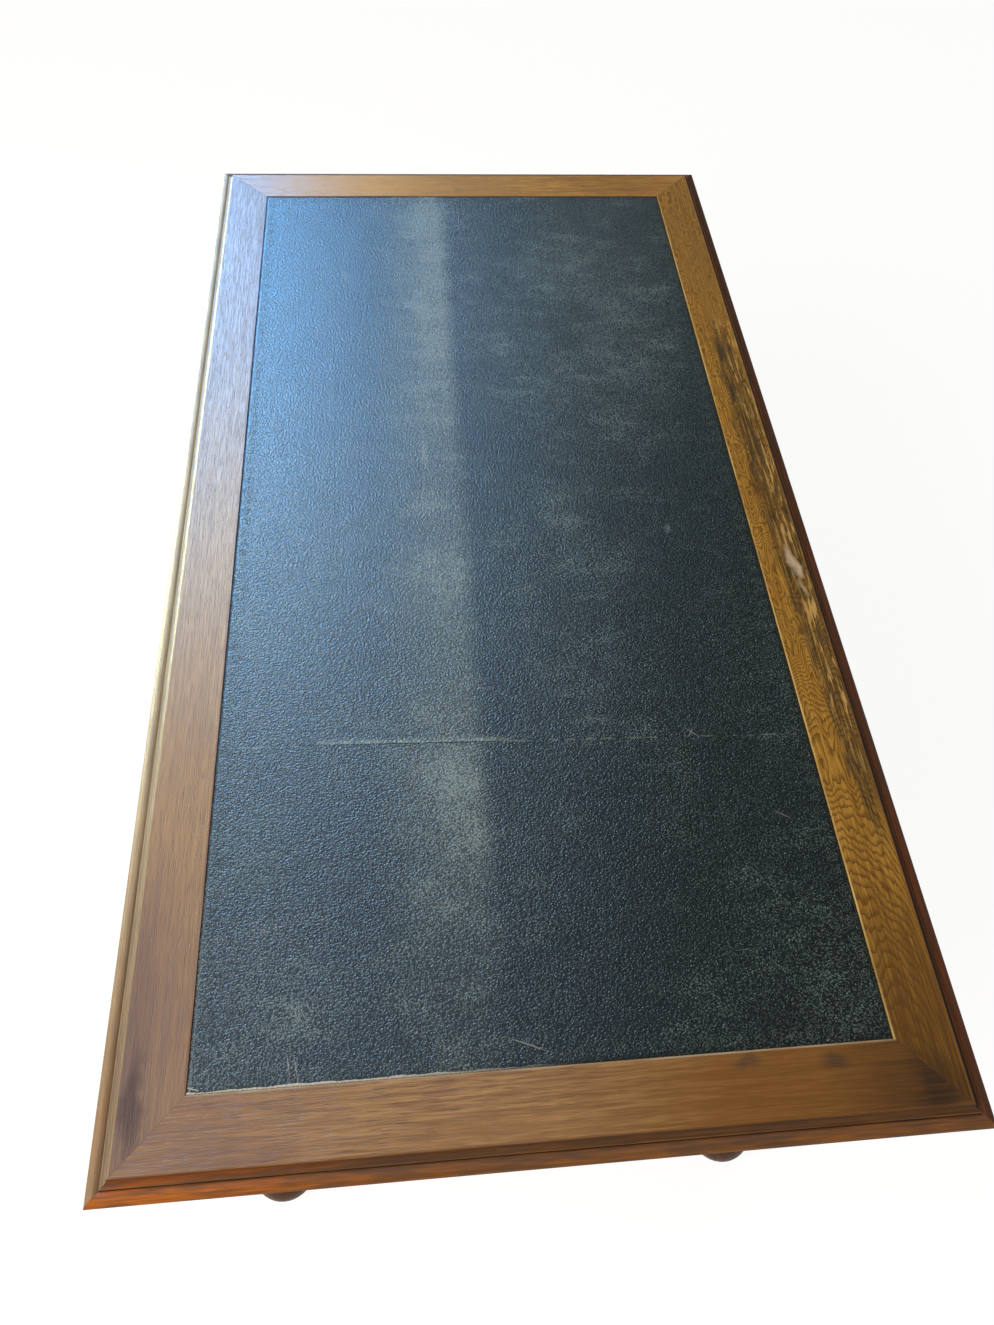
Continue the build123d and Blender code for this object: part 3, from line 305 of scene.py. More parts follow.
def top_oak(name, along, colours, moulding, marks_and_glare, shift, shine=0.36, dull=0.72, fade=(0.34, -0.22),
            dirt=0.55, figure=None):
    """Worn waxed oak of one top rail.

    The colours are pale, deep and pore. The moulding has the torus and the cove at both ends of the
    rail, then its arris and the inner edge. The fade is where along the rail it goes from one to the other.
    A mark is a place, two reaches, a turn, a colour and a strength; a mark may be a painted glare.
    The dirt sets the grime, the painted shade in the groove and the grain's contrast in the moulding.
    """
    material, tree, surface = new_material(name)
    place = add(tree, "TexCoord").outputs["Object"]
    wobble = add(tree, "TexNoise", {"Vector": place, "Scale": 45.0, "Detail": 3.0})
    wobble = add(tree, "VectorMath", {0: wobble.outputs["Color"], 1: (0.5, 0.5, 0.5)}, operation="SUBTRACT")
    loose = add(tree, "VectorMath", {0: wobble, 1: (0.02, 0.02, 0.0), 2: place}, operation="MULTIPLY_ADD").outputs[0]
    axes = add(tree, "SeparateXYZ", {0: place})
    run = axes.outputs[along]
    pale, deep, pore = [linear(colour) for colour in colours]
    wood, tone, hollow = oak_wood(tree, along, pale, deep, pore, shift)
    if figure:
        wood = figure(tree, axes, wood)
    for x, y, reach_x, reach_y, turn, colour, strength in marks_and_glare:
        mask = add(tree, "Math", {0: spot(tree, loose, x, y, reach_x, reach_y, turn), 1: strength}, **TIMES)
        streaks = add(tree, "MapRange", {0: tone, 1: 0.15, 2: 0.75, 3: 1.0, 4: 0.70})
        mask = add(tree, "Math", {0: mask, 1: streaks}, **TIMES)
        wood = add(tree, "Mix", {0: mask, 6: wood, 7: colour}, **RGBA)
    from_end_x = add(tree, "Math", {0: axes.outputs["X"]}, operation="ABSOLUTE")
    from_end_x = add(tree, "Math", {0: HALF_LENGTH, 1: from_end_x}, operation="SUBTRACT")
    from_end_y = add(tree, "Math", {0: axes.outputs["Y"]}, operation="ABSOLUTE")
    from_end_y = add(tree, "Math", {0: HALF_WIDTH, 1: from_end_y}, operation="SUBTRACT")
    inwards = from_end_y if along == "X" else from_end_x
    torus_high, torus_low, cove_high, cove_low, arris, inner = moulding
    faded = add(tree, "MapRange", {0: run, 1: fade[0], 2: fade[1]})
    torus = add(tree, "Mix", {0: faded, 6: torus_high, 7: torus_low}, **RGBA)
    cove = add(tree, "Mix", {0: faded, 6: cove_high, 7: cove_low}, **RGBA)
    # The arris colour fades toward the torus colour along the rail: a pale worn arris with a painted highlight.
    arris = add(tree, "Mix", {0: add(tree, "Math", {0: faded, 1: 0.6}, **TIMES), 6: arris, 7: torus_low}, **RGBA)
    rubbed = add(tree, "MapRange", {0: grain_noise(tree, along, 6.0, 60.0, 3.0, shift + 2.0), 1: 0.36, 2: 0.62})
    # The moulding's bands: the cove and the torus in the stain's colours, the fillet pale from wear and a painted
    # highlight, the groove dark from grime and painted shade.
    zones = (
        (COVE_ZONE, cove, 1.0), (FILLET_ZONE, arris, 0.75), (GROOVE_ZONE, "#1E120A", 1.5 * dirt),
        (TORUS_ZONE, torus, 1.0),
    )
    for (start, full), colour, strength in zones:
        zone = add(tree, "MapRange", {0: inwards, 1: start * MM, 2: full * MM, 4: strength})
        shade = add(tree, "MapRange", {0: tone, 3: 1.0 - 0.85 * dirt, 4: 1.0 + 0.55 * dirt})
        shade = add(tree, "Mix", {0: 1.0, 6: colour, 7: shade}, blend_type="MULTIPLY", **RGBA)
        wood = add(tree, "Mix", {0: zone, 6: wood, 7: shade}, **RGBA)
    grime = add(tree, "MapRange", {0: grain_noise(tree, along, 7.0, 45.0, 4.0, shift + 3.0), 1: 0.44, 2: 0.62, 4: dirt})
    grime = add(tree, "Math", {0: grime, 1: add(tree, "MapRange", {0: inwards, 1: 21 * MM, 2: 19 * MM})}, **TIMES)
    wood = add(tree, "Mix", {0: grime, 6: wood, 7: "#4A3422"}, **RGBA)
    # A pale line along the top arris, from wear and a painted highlight, and the line of the inner edge.
    for middle, reach, colour, strength in ((TOP_ARRIS, 0.9, arris, 0.8), (RAIL / MM, 2.0, inner, 1.0)):
        near = add(tree, "Math", {0: inwards, 1: middle * MM}, operation="SUBTRACT")
        near = add(tree, "Math", {0: near}, operation="ABSOLUTE")
        near = add(tree, "MapRange", {0: near, 1: reach * MM, 2: 0.4 * reach * MM, 4: strength})
        near = add(tree, "Math", {0: near, 1: add(tree, "MapRange", {0: rubbed, 3: 0.3, 4: 1.0})}, **TIMES)
        wood = add(tree, "Mix", {0: near, 6: wood, 7: colour}, **RGBA)
    mitre = add(tree, "Math", {0: from_end_x, 1: from_end_y}, operation="SUBTRACT")
    mitre = add(tree, "Math", {0: mitre}, operation="ABSOLUTE")
    mitre = add(tree, "MapRange", {0: mitre, 1: 0.8 * MM, 2: 0.3 * MM, 4: 0.28})
    wood = add(tree, "Mix", {0: mitre, 6: wood, 7: pore}, **RGBA)
    feed(tree, surface, {
        "Base Color": wood,
        "Roughness": add(tree, "Math", {
            0: add(tree, "MapRange", {0: tone, 1: 0.2, 2: 0.8, 3: shine + 0.05, 4: shine - 0.03}),
            1: add(tree, "MapRange", {0: inwards, 1: DULL_ZONE[0] * MM, 2: DULL_ZONE[1] * MM, 4: dull}),
        }, **HIGHER),
        "Normal": add(tree, "Bump", {"Height": hollow, "Strength": 0.55, "Distance": GRAIN_DEPTH}),
        "Specular IOR Level": 0.32,
    })
    return material


RAIL_INNER_Y = -0.326
ARCH_WIDTH = 0.72
ARCH_RINGS = 9000.0


def flat_sawn(tree, axes, wood):
    """Nested arches of the growth rings on the front rail, the swirls beyond them, its stains, and pale streaks along
    its outer edge, bleaching with a painted highlight.
    """
    sway = grain_noise(tree, "X", 26.0, 120.0, 2.0, 31.0)
    feathers = grain_noise(tree, "X", 2.2, 5.0, 2.0, 37.0)
    depth = add(tree, "Math", {0: axes.outputs["X"], 1: 0.125, 2: 0.105}, **TIMES_ADD)
    depth = add(tree, "Math", {0: depth, 1: 0.070}, operation="MINIMUM")
    depth = add(tree, "Math", {0: 0.010, 1: add(tree, "Math", {0: sway, 1: 0.5}, operation="SUBTRACT"), 2: depth},
                **TIMES_ADD)
    side = add(tree, "Math", {0: axes.outputs["Y"], 1: -ARCH_WIDTH, 2: ARCH_WIDTH * RAIL_INNER_Y}, **TIMES_ADD)
    side = add(tree, "Math", {0: side, 1: 0.001}, **HIGHER)
    radius = add(tree, "Math", {0: side, 1: 4.0}, operation="POWER")
    inner_radius = add(tree, "Math", {0: depth, 1: 4.0}, operation="POWER")
    radius = add(tree, "Math", {0: inner_radius, 1: radius}, operation="ADD")
    arches = add(tree, "Math", {0: radius, 1: 0.5}, operation="POWER")
    arches = add(tree, "Math", {0: arches, 1: ARCH_RINGS}, **TIMES)
    swirls = add(tree, "Math", {0: grain_noise(tree, "X", 34.0, 95.0, 2.0, 71.0), 1: 26.0}, **TIMES)
    beyond = add(tree, "MapRange", {0: axes.outputs["X"], 1: -0.40, 2: -0.24})
    rings = add(tree, "Mix", {0: beyond, 2: arches, 3: swirls})
    rings = add(tree, "Math", {0: feathers, 1: 0.6, 2: rings}, **TIMES_ADD)
    rings = add(tree, "Math", {0: rings}, operation="FRACT")
    early = add(tree, "MapRange", {0: rings, 1: 0.0, 2: 0.5, 3: 0.85, 4: 0.0})
    wood = add(tree, "Mix", {0: early, 6: wood, 7: "#54350E"}, **RGBA)
    middle = add(tree, "MapRange", {0: axes.outputs["X"], 1: 0.1, 2: -0.32, 3: -0.360, 4: -0.370})
    off = add(tree, "Math", {0: axes.outputs["Y"], 1: middle}, operation="SUBTRACT")
    off = add(tree, "Math", {0: off}, operation="ABSOLUTE")
    soaked = add(tree, "MapRange", {0: off, 1: 32 * MM, 2: 4 * MM})
    begins = add(tree, "MapRange", {0: axes.outputs["X"], 1: 0.42, 2: 0.24})
    ends = add(tree, "MapRange", {0: axes.outputs["X"], 1: -0.54, 2: -0.34})
    soaked = add(tree, "Math", {0: soaked, 1: begins}, **TIMES)
    soaked = add(tree, "Math", {0: soaked, 1: ends}, **TIMES)
    tide = grain_noise(tree, "X", 9.0, 60.0, 5.0, 43.0)
    soaked = add(tree, "Math", {0: soaked, 1: tide}, operation="ADD")
    soaked = add(tree, "MapRange", {0: soaked, 1: 0.86, 2: 1.12})
    lines = grain_noise(tree, "X", 1.6, 50.0, 2.0, 47.0)
    lines = add(tree, "MapRange", {0: lines, 1: 0.38, 2: 0.62, 3: 0.25, 4: 0.90})
    soaked = add(tree, "Math", {0: soaked, 1: lines}, **TIMES)
    wood = add(tree, "Mix", {0: soaked, 6: wood, 7: "#332C20"}, **RGBA)
    # Pale golden streaks along the outer edge: bleaching and a painted highlight.
    bleach_and_highlight = grain_noise(tree, "X", 4.0, 40.0, 3.0, 59.0)
    bleach_and_highlight = add(tree, "MapRange", {0: bleach_and_highlight, 1: 0.54, 2: 0.62, 4: 0.9})
    outer = add(tree, "MapRange", {0: axes.outputs["Y"], 1: -0.350, 2: -0.366})
    for bound in (outer, add(tree, "MapRange", {0: axes.outputs["X"], 1: 0.42, 2: 0.30}),
                  add(tree, "MapRange", {0: axes.outputs["X"], 1: -0.42, 2: -0.3})):
        bleach_and_highlight = add(tree, "Math", {0: bleach_and_highlight, 1: bound}, **TIMES)
    return add(tree, "Mix", {0: bleach_and_highlight, 6: wood, 7: "#C9A15A"}, **RGBA)


FRONT_MARKS = (
    (0.275, -0.349, 0.036, 0.008, 0, "#332A1E", 0.85), (0.19, -0.353, 0.030, 0.008, 0, "#332A1E", 0.85),
    (0.10, -0.364, 0.050, 0.007, 0, "#3A3022", 0.7), (-0.100, -0.360, 0.030, 0.006, 0, "#CDB89C", 0.85),
    (-0.115, -0.366, 0.026, 0.007, 4, "#D0BCA0", 0.9), (-0.146, -0.366, 0.018, 0.005, 10, "#BCA484", 0.7),
    (0.010, -0.342, 0.020, 0.008, 0, "#5A3C16", 0.7),
    (-0.72, -0.36, 0.27, 0.15, 0, "#5A3A12", 1.0), (-0.69, -0.355, 0.05, 0.035, 30, "#33241A", 0.8),
    (-0.62, -0.36, 0.16, 0.09, 0, "#644418", 0.4),
    (0.5, -0.36, 0.3, 0.07, 0, "#85602E", 0.4),
)
LEFT_MARKS = (
    (-0.69, 0.36, 0.12, 0.22, 0, "#7E6258", 0.65), (-0.69, -0.24, 0.16, 0.32, 0, "#7E5216", 0.95),
    (-0.69, -0.26, 0.12, 0.20, 0, "#704610", 0.65),
    (-0.69, -0.34, 0.10, 0.11, 0, "#533616", 0.85), (-0.69, -0.350, 0.045, 0.035, 0, "#2E2018", 0.8),
    (-0.662, -0.178, 0.008, 0.022, 0, "#2E2A2C", 0.6), (-0.667, -0.262, 0.010, 0.022, 0, "#2E2A2A", 0.65),
    (-0.70, 0.05, 0.03, 0.14, 0, "#9A7040", 0.4),
)
BACK_MARKS = (
    (-0.62, 0.36, 0.26, 0.10, 0, "#7C625A", 0.75), (-0.60, 0.372, 0.20, 0.026, 0, "#665250", 0.7),
    (-0.655, 0.366, 0.060, 0.014, 4, "#433236", 0.85), (-0.30, 0.36, 0.3, 0.08, 0, "#94694A", 0.3),
    (0.0, 0.36, 0.3, 0.08, 0, "#A08468", 0.4),
)
# The first spot, broad and pale yellow at y 0.20, is a painted warm glare on this rail.
RIGHT_MARKS_AND_GLARE = (
    (0.69, 0.20, 0.10, 0.22, 0, "#DEB25C", 0.7), (0.69, 0.125, 0.012, 0.03, 0, "#C0903E", 0.8),
    (0.69, 0.0, 0.06, 0.16, 0, "#B08A50", 0.4), (0.69, -0.28, 0.08, 0.16, 0, "#86561F", 0.5),
)
# The front rail's torus and cove colours are dark brown: painted shade over the stain, as this moulding faces away from
# the light.
finish(top_oak("waxed_oak_front", "X", ("#BE8E3A", "#8C6018", "#3E2810"),
               ("#4E2810", "#5E3012", "#42240E", "#42240E", "#B07C34", "#DCBC78"), FRONT_MARKS, 2.0, figure=flat_sawn),
       "top_rail_front")
finish(top_oak("waxed_oak_back", "X", ("#AE8E68", "#84684A", "#54402A"),
               ("#B8A67C", "#8A6840", "#A0906A", "#7A6042", "#C0AE84", "#7A5238"), BACK_MARKS, 9.0,
               shine=0.34, dull=0.50, fade=(-0.02, -0.66), dirt=0.22),
       "top_rail_back")
finish(top_oak("waxed_oak_left", "Y", ("#AE885C", "#765234", "#442C16"),
               ("#A4590A", "#764818", "#84450C", "#5A3818", "#7A5028", "#A89882"), LEFT_MARKS, 13.0, fade=(0.34, 0.06)),
       "top_rail_left")
finish(top_oak("waxed_oak_right", "Y", ("#CE9E50", "#8A5E22", "#402812"),
               ("#7A4A20", "#6A401C", "#7A4A20", "#7A4A20", "#B98A50", "#8E6228"), RIGHT_MARKS_AND_GLARE, 29.0, shine=0.30),
       "top_rail_right")

# Leather: two glued skins of dark pebbled hide with an askew seam, rubbed pale on its grain, with a painted sheen,
# painted cool light and a painted shadow at the seam.
# Each lies in the rebate of the frame, and one lifts a little along the seam.
SKIN_STEP = 4 * MM
SEAM_X = -330.25 * MM
SEAM_SLANT = 27.25 * MM
LIFT_LOW = 15 * MM
LIFT_HIGH = 215 * MM
PEBBLE = 1.6 * MM
GRIT = 0.7 * MM
GRAIN_RELIEF = 0.40 * MM
EDGE_FALL = 0.15 * MM
EDGE_WIDTH = 1.2 * MM
SEAM_RISE = 0.25 * MM
SEAM_WIDTH = 5 * MM
SWELL = 0.10 * MM
SWELL_MARGIN = 10 * MM
leather, tree, surface = new_material("pebbled_leather")
place = add(tree, "TexCoord").outputs["Object"]
axes = add(tree, "SeparateXYZ", {0: place})
x, y = axes.outputs["X"], axes.outputs["Y"]
warp = add(tree, "TexNoise", {"Vector": place, "Scale": 330.0, "Detail": 1.0})
warp = add(tree, "VectorMath", {0: warp.outputs["Color"], 1: (0.5, 0.5, 0.5)}, operation="SUBTRACT")
warped = add(tree, "VectorMath", {0: warp, 1: (0.0030, 0.0030, 0.0), 2: place}, operation="MULTIPLY_ADD")
grain = add(tree, "Mapping", {"Vector": warped, "Rotation": (0, 0, radians(28)), "Scale": (1.0, 0.72, 1.0)})
pebbles = add(tree, "TexVoronoi", {"Vector": grain, "Scale": 1 / PEBBLE}, feature="SMOOTH_F1")
crown = add(tree, "MapRange", {0: pebbles.outputs["Distance"], 1: 0.12, 2: 0.60, 3: 1.0, 4: 0.0})
fine = add(tree, "TexNoise", {"Vector": place, "Scale": 1 / GRIT, "Detail": 2.0, "Roughness": 0.7})
grit = add(tree, "Math", {0: crown, 1: 0.25, 2: add(tree, "Math", {0: fine, 1: 0.75}, **TIMES)}, **TIMES_ADD)

clouds = add(tree, "TexNoise", {"Vector": place, "Scale": 7.0, "Detail": 6.0, "Roughness": 0.68})
clouds = add(tree, "MapRange", {0: clouds, 1: 0.38, 2: 0.70, 4: 0.55})
drawn = add(tree, "Mapping", {"Vector": place, "Scale": (42.0, 16.0, 1.0)})
scuffs = add(tree, "TexNoise", {"Vector": drawn, "Scale": 1.0, "Detail": 4.0})
scuffs = add(tree, "MapRange", {0: scuffs, 1: 0.5, 2: 0.72, 4: 0.35})
# A band across the skin where the hide is rubbed and carries a painted pale sheen.
rubbed_and_sheen_band = add(tree, "MapRange", {0: y, 1: 0.030, 2: 0.052})
rubbed_and_sheen_band = add(tree, "Math", {0: rubbed_and_sheen_band, 1: add(tree, "MapRange", {0: y, 1: 0.160, 2: 0.080})}, **TIMES)
rubbed_and_sheen_band = add(tree, "Math", {0: rubbed_and_sheen_band, 1: add(tree, "MapRange", {0: x, 1: -0.70, 2: -0.38, 4: 0.60})}, **TIMES)
near_end = add(tree, "MapRange", {0: x, 1: -0.30, 2: -0.64, 4: 0.12})
wear = add(tree, "Math", {0: clouds, 1: scuffs}, operation="ADD")
wear = add(tree, "Math", {0: wear, 1: rubbed_and_sheen_band}, operation="ADD")
wear = add(tree, "Math", {0: wear, 1: near_end}, operation="ADD")
WORN = (
    (0.36, -0.12, 0.40, 0.26, 0, 0.40), (0.36, -0.22, 0.20, 0.12, 0, 0.16), (0.56, 0.06, 0.16, 0.10, 0, 0.22),
    (-0.60, -0.28, 0.06, 0.07, 0, 0.22), (-0.36, 0.10, 0.06, 0.07, 0, 0.05), (-0.42, 0.27, 0.06, 0.06, 20, 0.25),
    (-0.58, 0.24, 0.09, 0.09, 0, 0.20),
    (0.453, 0.195, 0.022, 0.006, 20, 0.6), (0.085, 0.087, 0.035, 0.007, 0, 0.6), (-0.048, -0.215, 0.010, 0.006, 0, 0.8),
    (-0.28, 0.145, 0.05, 0.08, 0, 0.18), (-0.10, -0.06, 0.22, 0.16, 0, 0.24),
)
for spot_x, spot_y, reach_x, reach_y, turn, strength in WORN:
    mask = spot(tree, warped.outputs[0], spot_x, spot_y, reach_x, reach_y, turn)
    wear = add(tree, "Math", {0: mask, 1: strength, 2: wear}, **TIMES_ADD)
limit = add(tree, "MapRange", {0: wear, 1: 0.0, 2: 1.2, 3: 0.69, 4: 0.41})
worn = add(tree, "Math", {0: grit, 1: limit}, operation="SUBTRACT")
worn = add(tree, "MapRange", {0: worn, 1: -0.06, 2: 0.13})

off_seam = add(tree, "Math", {0: y, 1: -SEAM_SLANT, 2: x}, **TIMES_ADD)
off_seam = add(tree, "Math", {0: off_seam, 1: SEAM_X}, operation="SUBTRACT")
lifted = add(tree, "MapRange", {0: y, 1: LIFT_LOW - 0.01, 2: LIFT_LOW + 0.01})
lift_end = add(tree, "MapRange", {0: y, 1: LIFT_HIGH + 0.01, 2: LIFT_HIGH - 0.01})
lifted = add(tree, "Math", {0: lifted, 1: lift_end}, **TIMES)
broken = add(tree, "TexNoise", {"Vector": place, "Scale": 90.0, "Detail": 4.0})
lip = add(tree, "MapRange", {0: off_seam, 1: 7.5 * MM, 2: 2.0 * MM})
lip = add(tree, "Math", {0: lip, 1: add(tree, "MapRange", {0: off_seam, 1: 0.0, 2: 0.4 * MM})}, **TIMES)
lip = add(tree, "Math", {0: lip, 1: lifted}, **TIMES)
lip = add(tree, "Math", {0: lip, 1: add(tree, "MapRange", {0: broken, 1: 0.34, 2: 0.60, 3: 0.0, 4: 0.40})}, **TIMES)
at_seam = add(tree, "Math", {0: off_seam}, operation="ABSOLUTE")
crease = add(tree, "MapRange", {0: at_seam, 1: 1.3 * MM, 2: 0.3 * MM})
crease = add(tree, "Math", {0: crease, 1: add(tree, "MapRange", {0: broken, 1: 0.44, 2: 0.62, 4: 0.36})}, **TIMES)
seam_wear = add(tree, "Math", {0: lip, 1: crease}, **HIGHER)

# The hide is bluer and lighter toward +Y and darker and greener toward -Y: painted cool window light and painted shade.
deep_hide = add(tree, "Mix", {0: add(tree, "MapRange", {0: y, 1: 0.18, 2: -0.15}), 6: "#101A26", 7: "#060B09"}, **RGBA)
high_hide = add(tree, "Mix", {0: add(tree, "MapRange", {0: y, 1: 0.18, 2: -0.15}), 6: "#2C3B4A", 7: "#212A25"}, **RGBA)
hide = add(tree, "Mix", {0: grit, 6: deep_hide, 7: high_hide}, **RGBA)
# In the band the hide's colour is lifted toward pale grey-green and its rubbed specks are paler: a painted sheen.
band_sheen = add(tree, "Math", {0: clouds, 1: scuffs}, operation="ADD")
band_sheen = add(tree, "MapRange", {0: band_sheen, 1: 0.1, 2: 0.7, 3: 0.45, 4: 1.0})
band_sheen = add(tree, "Math", {0: band_sheen, 1: add(tree, "Math", {0: rubbed_and_sheen_band, 1: 0.76}, **TIMES)}, **TIMES)
hide = add(tree, "Mix", {0: band_sheen, 6: hide, 7: "#64706C"}, **RGBA)
rub_and_sheen_colour = add(tree, "Mix", {0: rubbed_and_sheen_band, 6: "#76867C", 7: "#98A6A2"}, **RGBA)
hide = add(tree, "Mix", {0: add(tree, "Math", {0: worn, 1: 0.78}, **TIMES), 6: hide, 7: rub_and_sheen_colour}, **RGBA)
hide = add(tree, "Mix", {0: seam_wear, 6: hide, 7: "#98A492"}, **RGBA)
# A dark line beside the seam where the lip is lifted: painted shadow.
lip_shadow = add(tree, "MapRange", {0: off_seam, 1: -1.6 * MM, 2: -0.8 * MM})
lip_shadow = add(tree, "Math", {0: lip_shadow, 1: add(tree, "MapRange", {0: off_seam, 1: 0.3 * MM, 2: 0.0})}, **TIMES)
lip_shadow = add(tree, "Math", {0: lip_shadow, 1: lifted}, **TIMES)
hide = add(tree, "Mix", {0: lip_shadow, 6: hide, 7: "#0A0D0E"}, **RGBA)
NEAR_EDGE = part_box("leather_short")[0][0]
frayed = add(tree, "Math", {0: x, 1: NEAR_EDGE}, operation="SUBTRACT")
thread = add(tree, "TexNoise", {"Vector": place, "Scale": 55.0, "Detail": 5.0})
thread = add(tree, "MapRange", {0: thread, 1: 0.35, 2: 0.62, 3: 1.0 * MM, 4: 2.4 * MM})
frayed = add(tree, "Math", {0: frayed, 1: thread}, operation="LESS_THAN")
frayed = add(tree, "Math", {0: frayed, 1: add(tree, "MapRange", {0: y, 1: -0.02, 2: 0.16, 4: 0.85})}, **TIMES)
hide = add(tree, "Mix", {0: frayed, 6: hide, 7: "#C8C6BC"}, **RGBA)
SCRATCHES = (
    (-0.632, 0.019, 0.028, 69, 0.55), (-0.634, 0.234, 0.014, 8, 0.5), (-0.638, 0.227, 0.018, 12, 0.5),
    (-0.331, -0.192, 0.013, 50, 0.5), (-0.331, -0.190, 0.010, -35, 0.4), (-0.43, -0.27, 0.014, 60, 0.4),
    (-0.372, 0.048, 0.020, 5, 0.35), (0.18, 0.09, 0.02, 12, 0.4), (-0.647, 0.316, 0.008, 75, 0.9),
)
for scratch_x, scratch_y, half, turn, strength in SCRATCHES:
    line = spot(tree, place, scratch_x, scratch_y, half, 0.9 * MM, turn, core=0.1)
    hide = add(tree, "Mix", {0: add(tree, "Math", {0: line, 1: strength}, **TIMES), 6: hide, 7: "#A8ADA0"}, **RGBA)
feed(tree, surface, {
    "Base Color": hide,
    "Roughness": add(tree, "MapRange", {0: worn, 3: 0.35, 4: 0.55}),
    "Normal": add(tree, "Bump", {
        "Height": add(tree, "Mix", {0: 0.25, 2: crown, 3: fine}), "Strength": 1.0, "Distance": GRAIN_RELIEF,
    }),
})


def leather_skin(name, node, seam_side):
    """A skin of the leather as a fine grid between the node's own edges and its askew seam."""
    low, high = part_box(node)
    seam = {}
    for vertex in nodes[node].data.vertices:
        side = 1 if vertex.co.y > 0 else -1
        if side not in seam or seam_side * vertex.co.x > seam_side * seam[side]:
            seam[side] = vertex.co.x
    outer = low.x if seam_side > 0 else high.x
    rows = round((high.y - low.y) / SKIN_STEP)
    columns = round((high.x - low.x) / SKIN_STEP)
    shares = [j / columns for j in range(columns)]
    shares += [1 - step * MM / (high.x - low.x) for step in (2.4, 1.3, 0.5)] + [1.0]
    mesh = bmesh.new()
    grid = []
    for i in range(rows + 1):
        y = low.y + (high.y - low.y) * i / rows
        share = (y - low.y) / (high.y - low.y)
        seam_x = seam[-1] + (seam[1] - seam[-1]) * share
        lift = max(0.0, min(1.0, (y - LIFT_LOW) / 0.02, (LIFT_HIGH - y) / 0.02)) if seam_side < 0 else 0.0
        row = []
        for part in shares:
            x = outer + (seam_x - outer) * part
            from_seam = abs(x - seam_x)
            to_edge = min(abs(x - outer), from_seam, y - low.y, high.y - y)
            fall = EDGE_FALL * max(0.0, 1 - to_edge / EDGE_WIDTH) ** 2
            rise = SEAM_RISE * lift * max(0.0, 1 - from_seam / SEAM_WIDTH) ** 2
            inside = min(1.0, to_edge / SWELL_MARGIN)
            swell = SWELL * inside * (noise.noise((x * 22, y * 22, 0.0)) - 1)
            row.append(mesh.verts.new((x, y, high.z - fall + rise + swell)))
        grid.append(row)
    for i in range(rows):
        for j in range(len(shares) - 1):
            mesh.faces.new((grid[i][j], grid[i][j + 1], grid[i + 1][j + 1], grid[i + 1][j]))
    rim = [e for e in mesh.edges if e.is_boundary]
    walls = bmesh.ops.extrude_edge_only(mesh, edges=rim)
    for vertex in [g for g in walls["geom"] if isinstance(g, bmesh.types.BMVert)]:
        vertex.co.z = low.z
    bmesh.ops.holes_fill(mesh, edges=[e for e in mesh.edges if e.is_boundary])
    bmesh.ops.recalc_face_normals(mesh, faces=mesh.faces)
    data = bpy.data.meshes.new(name)
    mesh.to_mesh(data)
    mesh.free()
    for face in data.polygons:
        face.use_smooth = face.normal.z > 0.5
    piece = bpy.data.objects.new(name, data)
    bpy.context.scene.collection.objects.link(piece)
    data.materials.append(leather)
    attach(piece, "desk")
    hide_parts(node)


leather_skin("leather_skin_short", "leather_short", 1)
leather_skin("leather_skin_long", "leather_long", -1)

# Tooling: a running scroll pressed into the leather along its edges with a heated brass wheel.
# Its line is smoother and greener than the hide, and half rubbed away.
tooled, tree, surface = new_material("tooled_line")
place = add(tree, "TexCoord").outputs["Object"]
rub = add(tree, "TexNoise", {"Vector": place, "Scale": 60.0, "Detail": 3.0})
feed(tree, surface, {
    "Base Color": add(tree, "Mix", {0: add(tree, "MapRange", {0: rub, 1: 0.35, 2: 0.65}), 6: "#26302E", 7: "#5E6A60"},
                      **RGBA),
    "Roughness": 0.42,
})
SCROLL_REPEAT = 16.5 * MM
SCROLL_REACH = 6.2 * MM
SCROLL_INSET = 9.5 * MM
LINE_RADIUS = 0.30 * MM
LINE_SINK = 0.14 * MM
border = bpy.data.node_groups.new("running_scroll", "GeometryNodeTree")
border.interface.new_socket("Geometry", in_out="OUTPUT", socket_type="NodeSocketGeometry")
sockets = {}
for label, value in (("Run", 1.0), ("Reach", SCROLL_REACH), ("Line", LINE_RADIUS)):
    sockets[label] = border.interface.new_socket(label, in_out="INPUT", socket_type="NodeSocketFloat")
    sockets[label].default_value = value
sockets["Count"] = border.interface.new_socket("Count", in_out="INPUT", socket_type="NodeSocketInt")
given = border.nodes.new("NodeGroupInput").outputs
half_run = add(border, "Math", {0: given["Run"], 1: 0.5}, **TIMES)
ends = [
    add(border, "CombineXYZ", {"X": add(border, "Math", {0: half_run, 1: side}, **TIMES)}) for side in (-1.0, 1.0)
]
row = add(border, "GeometryNodeMeshLine", {"Count": given["Count"], "Start Location": ends[0], "Offset": ends[1]},
          mode="END_POINTS")
inner_end = add(border, "Math", {0: given["Reach"], 1: 0.12}, **TIMES)
scroll = add(border, "GeometryNodeCurveSpiral", {
    "Resolution": 11, "Rotations": 1.8, "Start Radius": inner_end, "End Radius": given["Reach"], "Height": 0.0,
})
section = add(border, "GeometryNodeCurvePrimitiveCircle", {"Resolution": 3, "Radius": given["Line"]})
line = add(border, "GeometryNodeCurveToMesh", {"Curve": scroll, "Profile Curve": section, "Fill Caps": True})
scrolls = add(border, "GeometryNodeInstanceOnPoints", {"Points": row, "Instance": line})
scrolls = add(border, "GeometryNodeRealizeInstances", {"Geometry": scrolls})
scrolls = add(border, "GeometryNodeSetMaterial", {"Geometry": scrolls, "Material": tooled})
feed(border, border.nodes.new("NodeGroupOutput"), {"Geometry": scrolls})


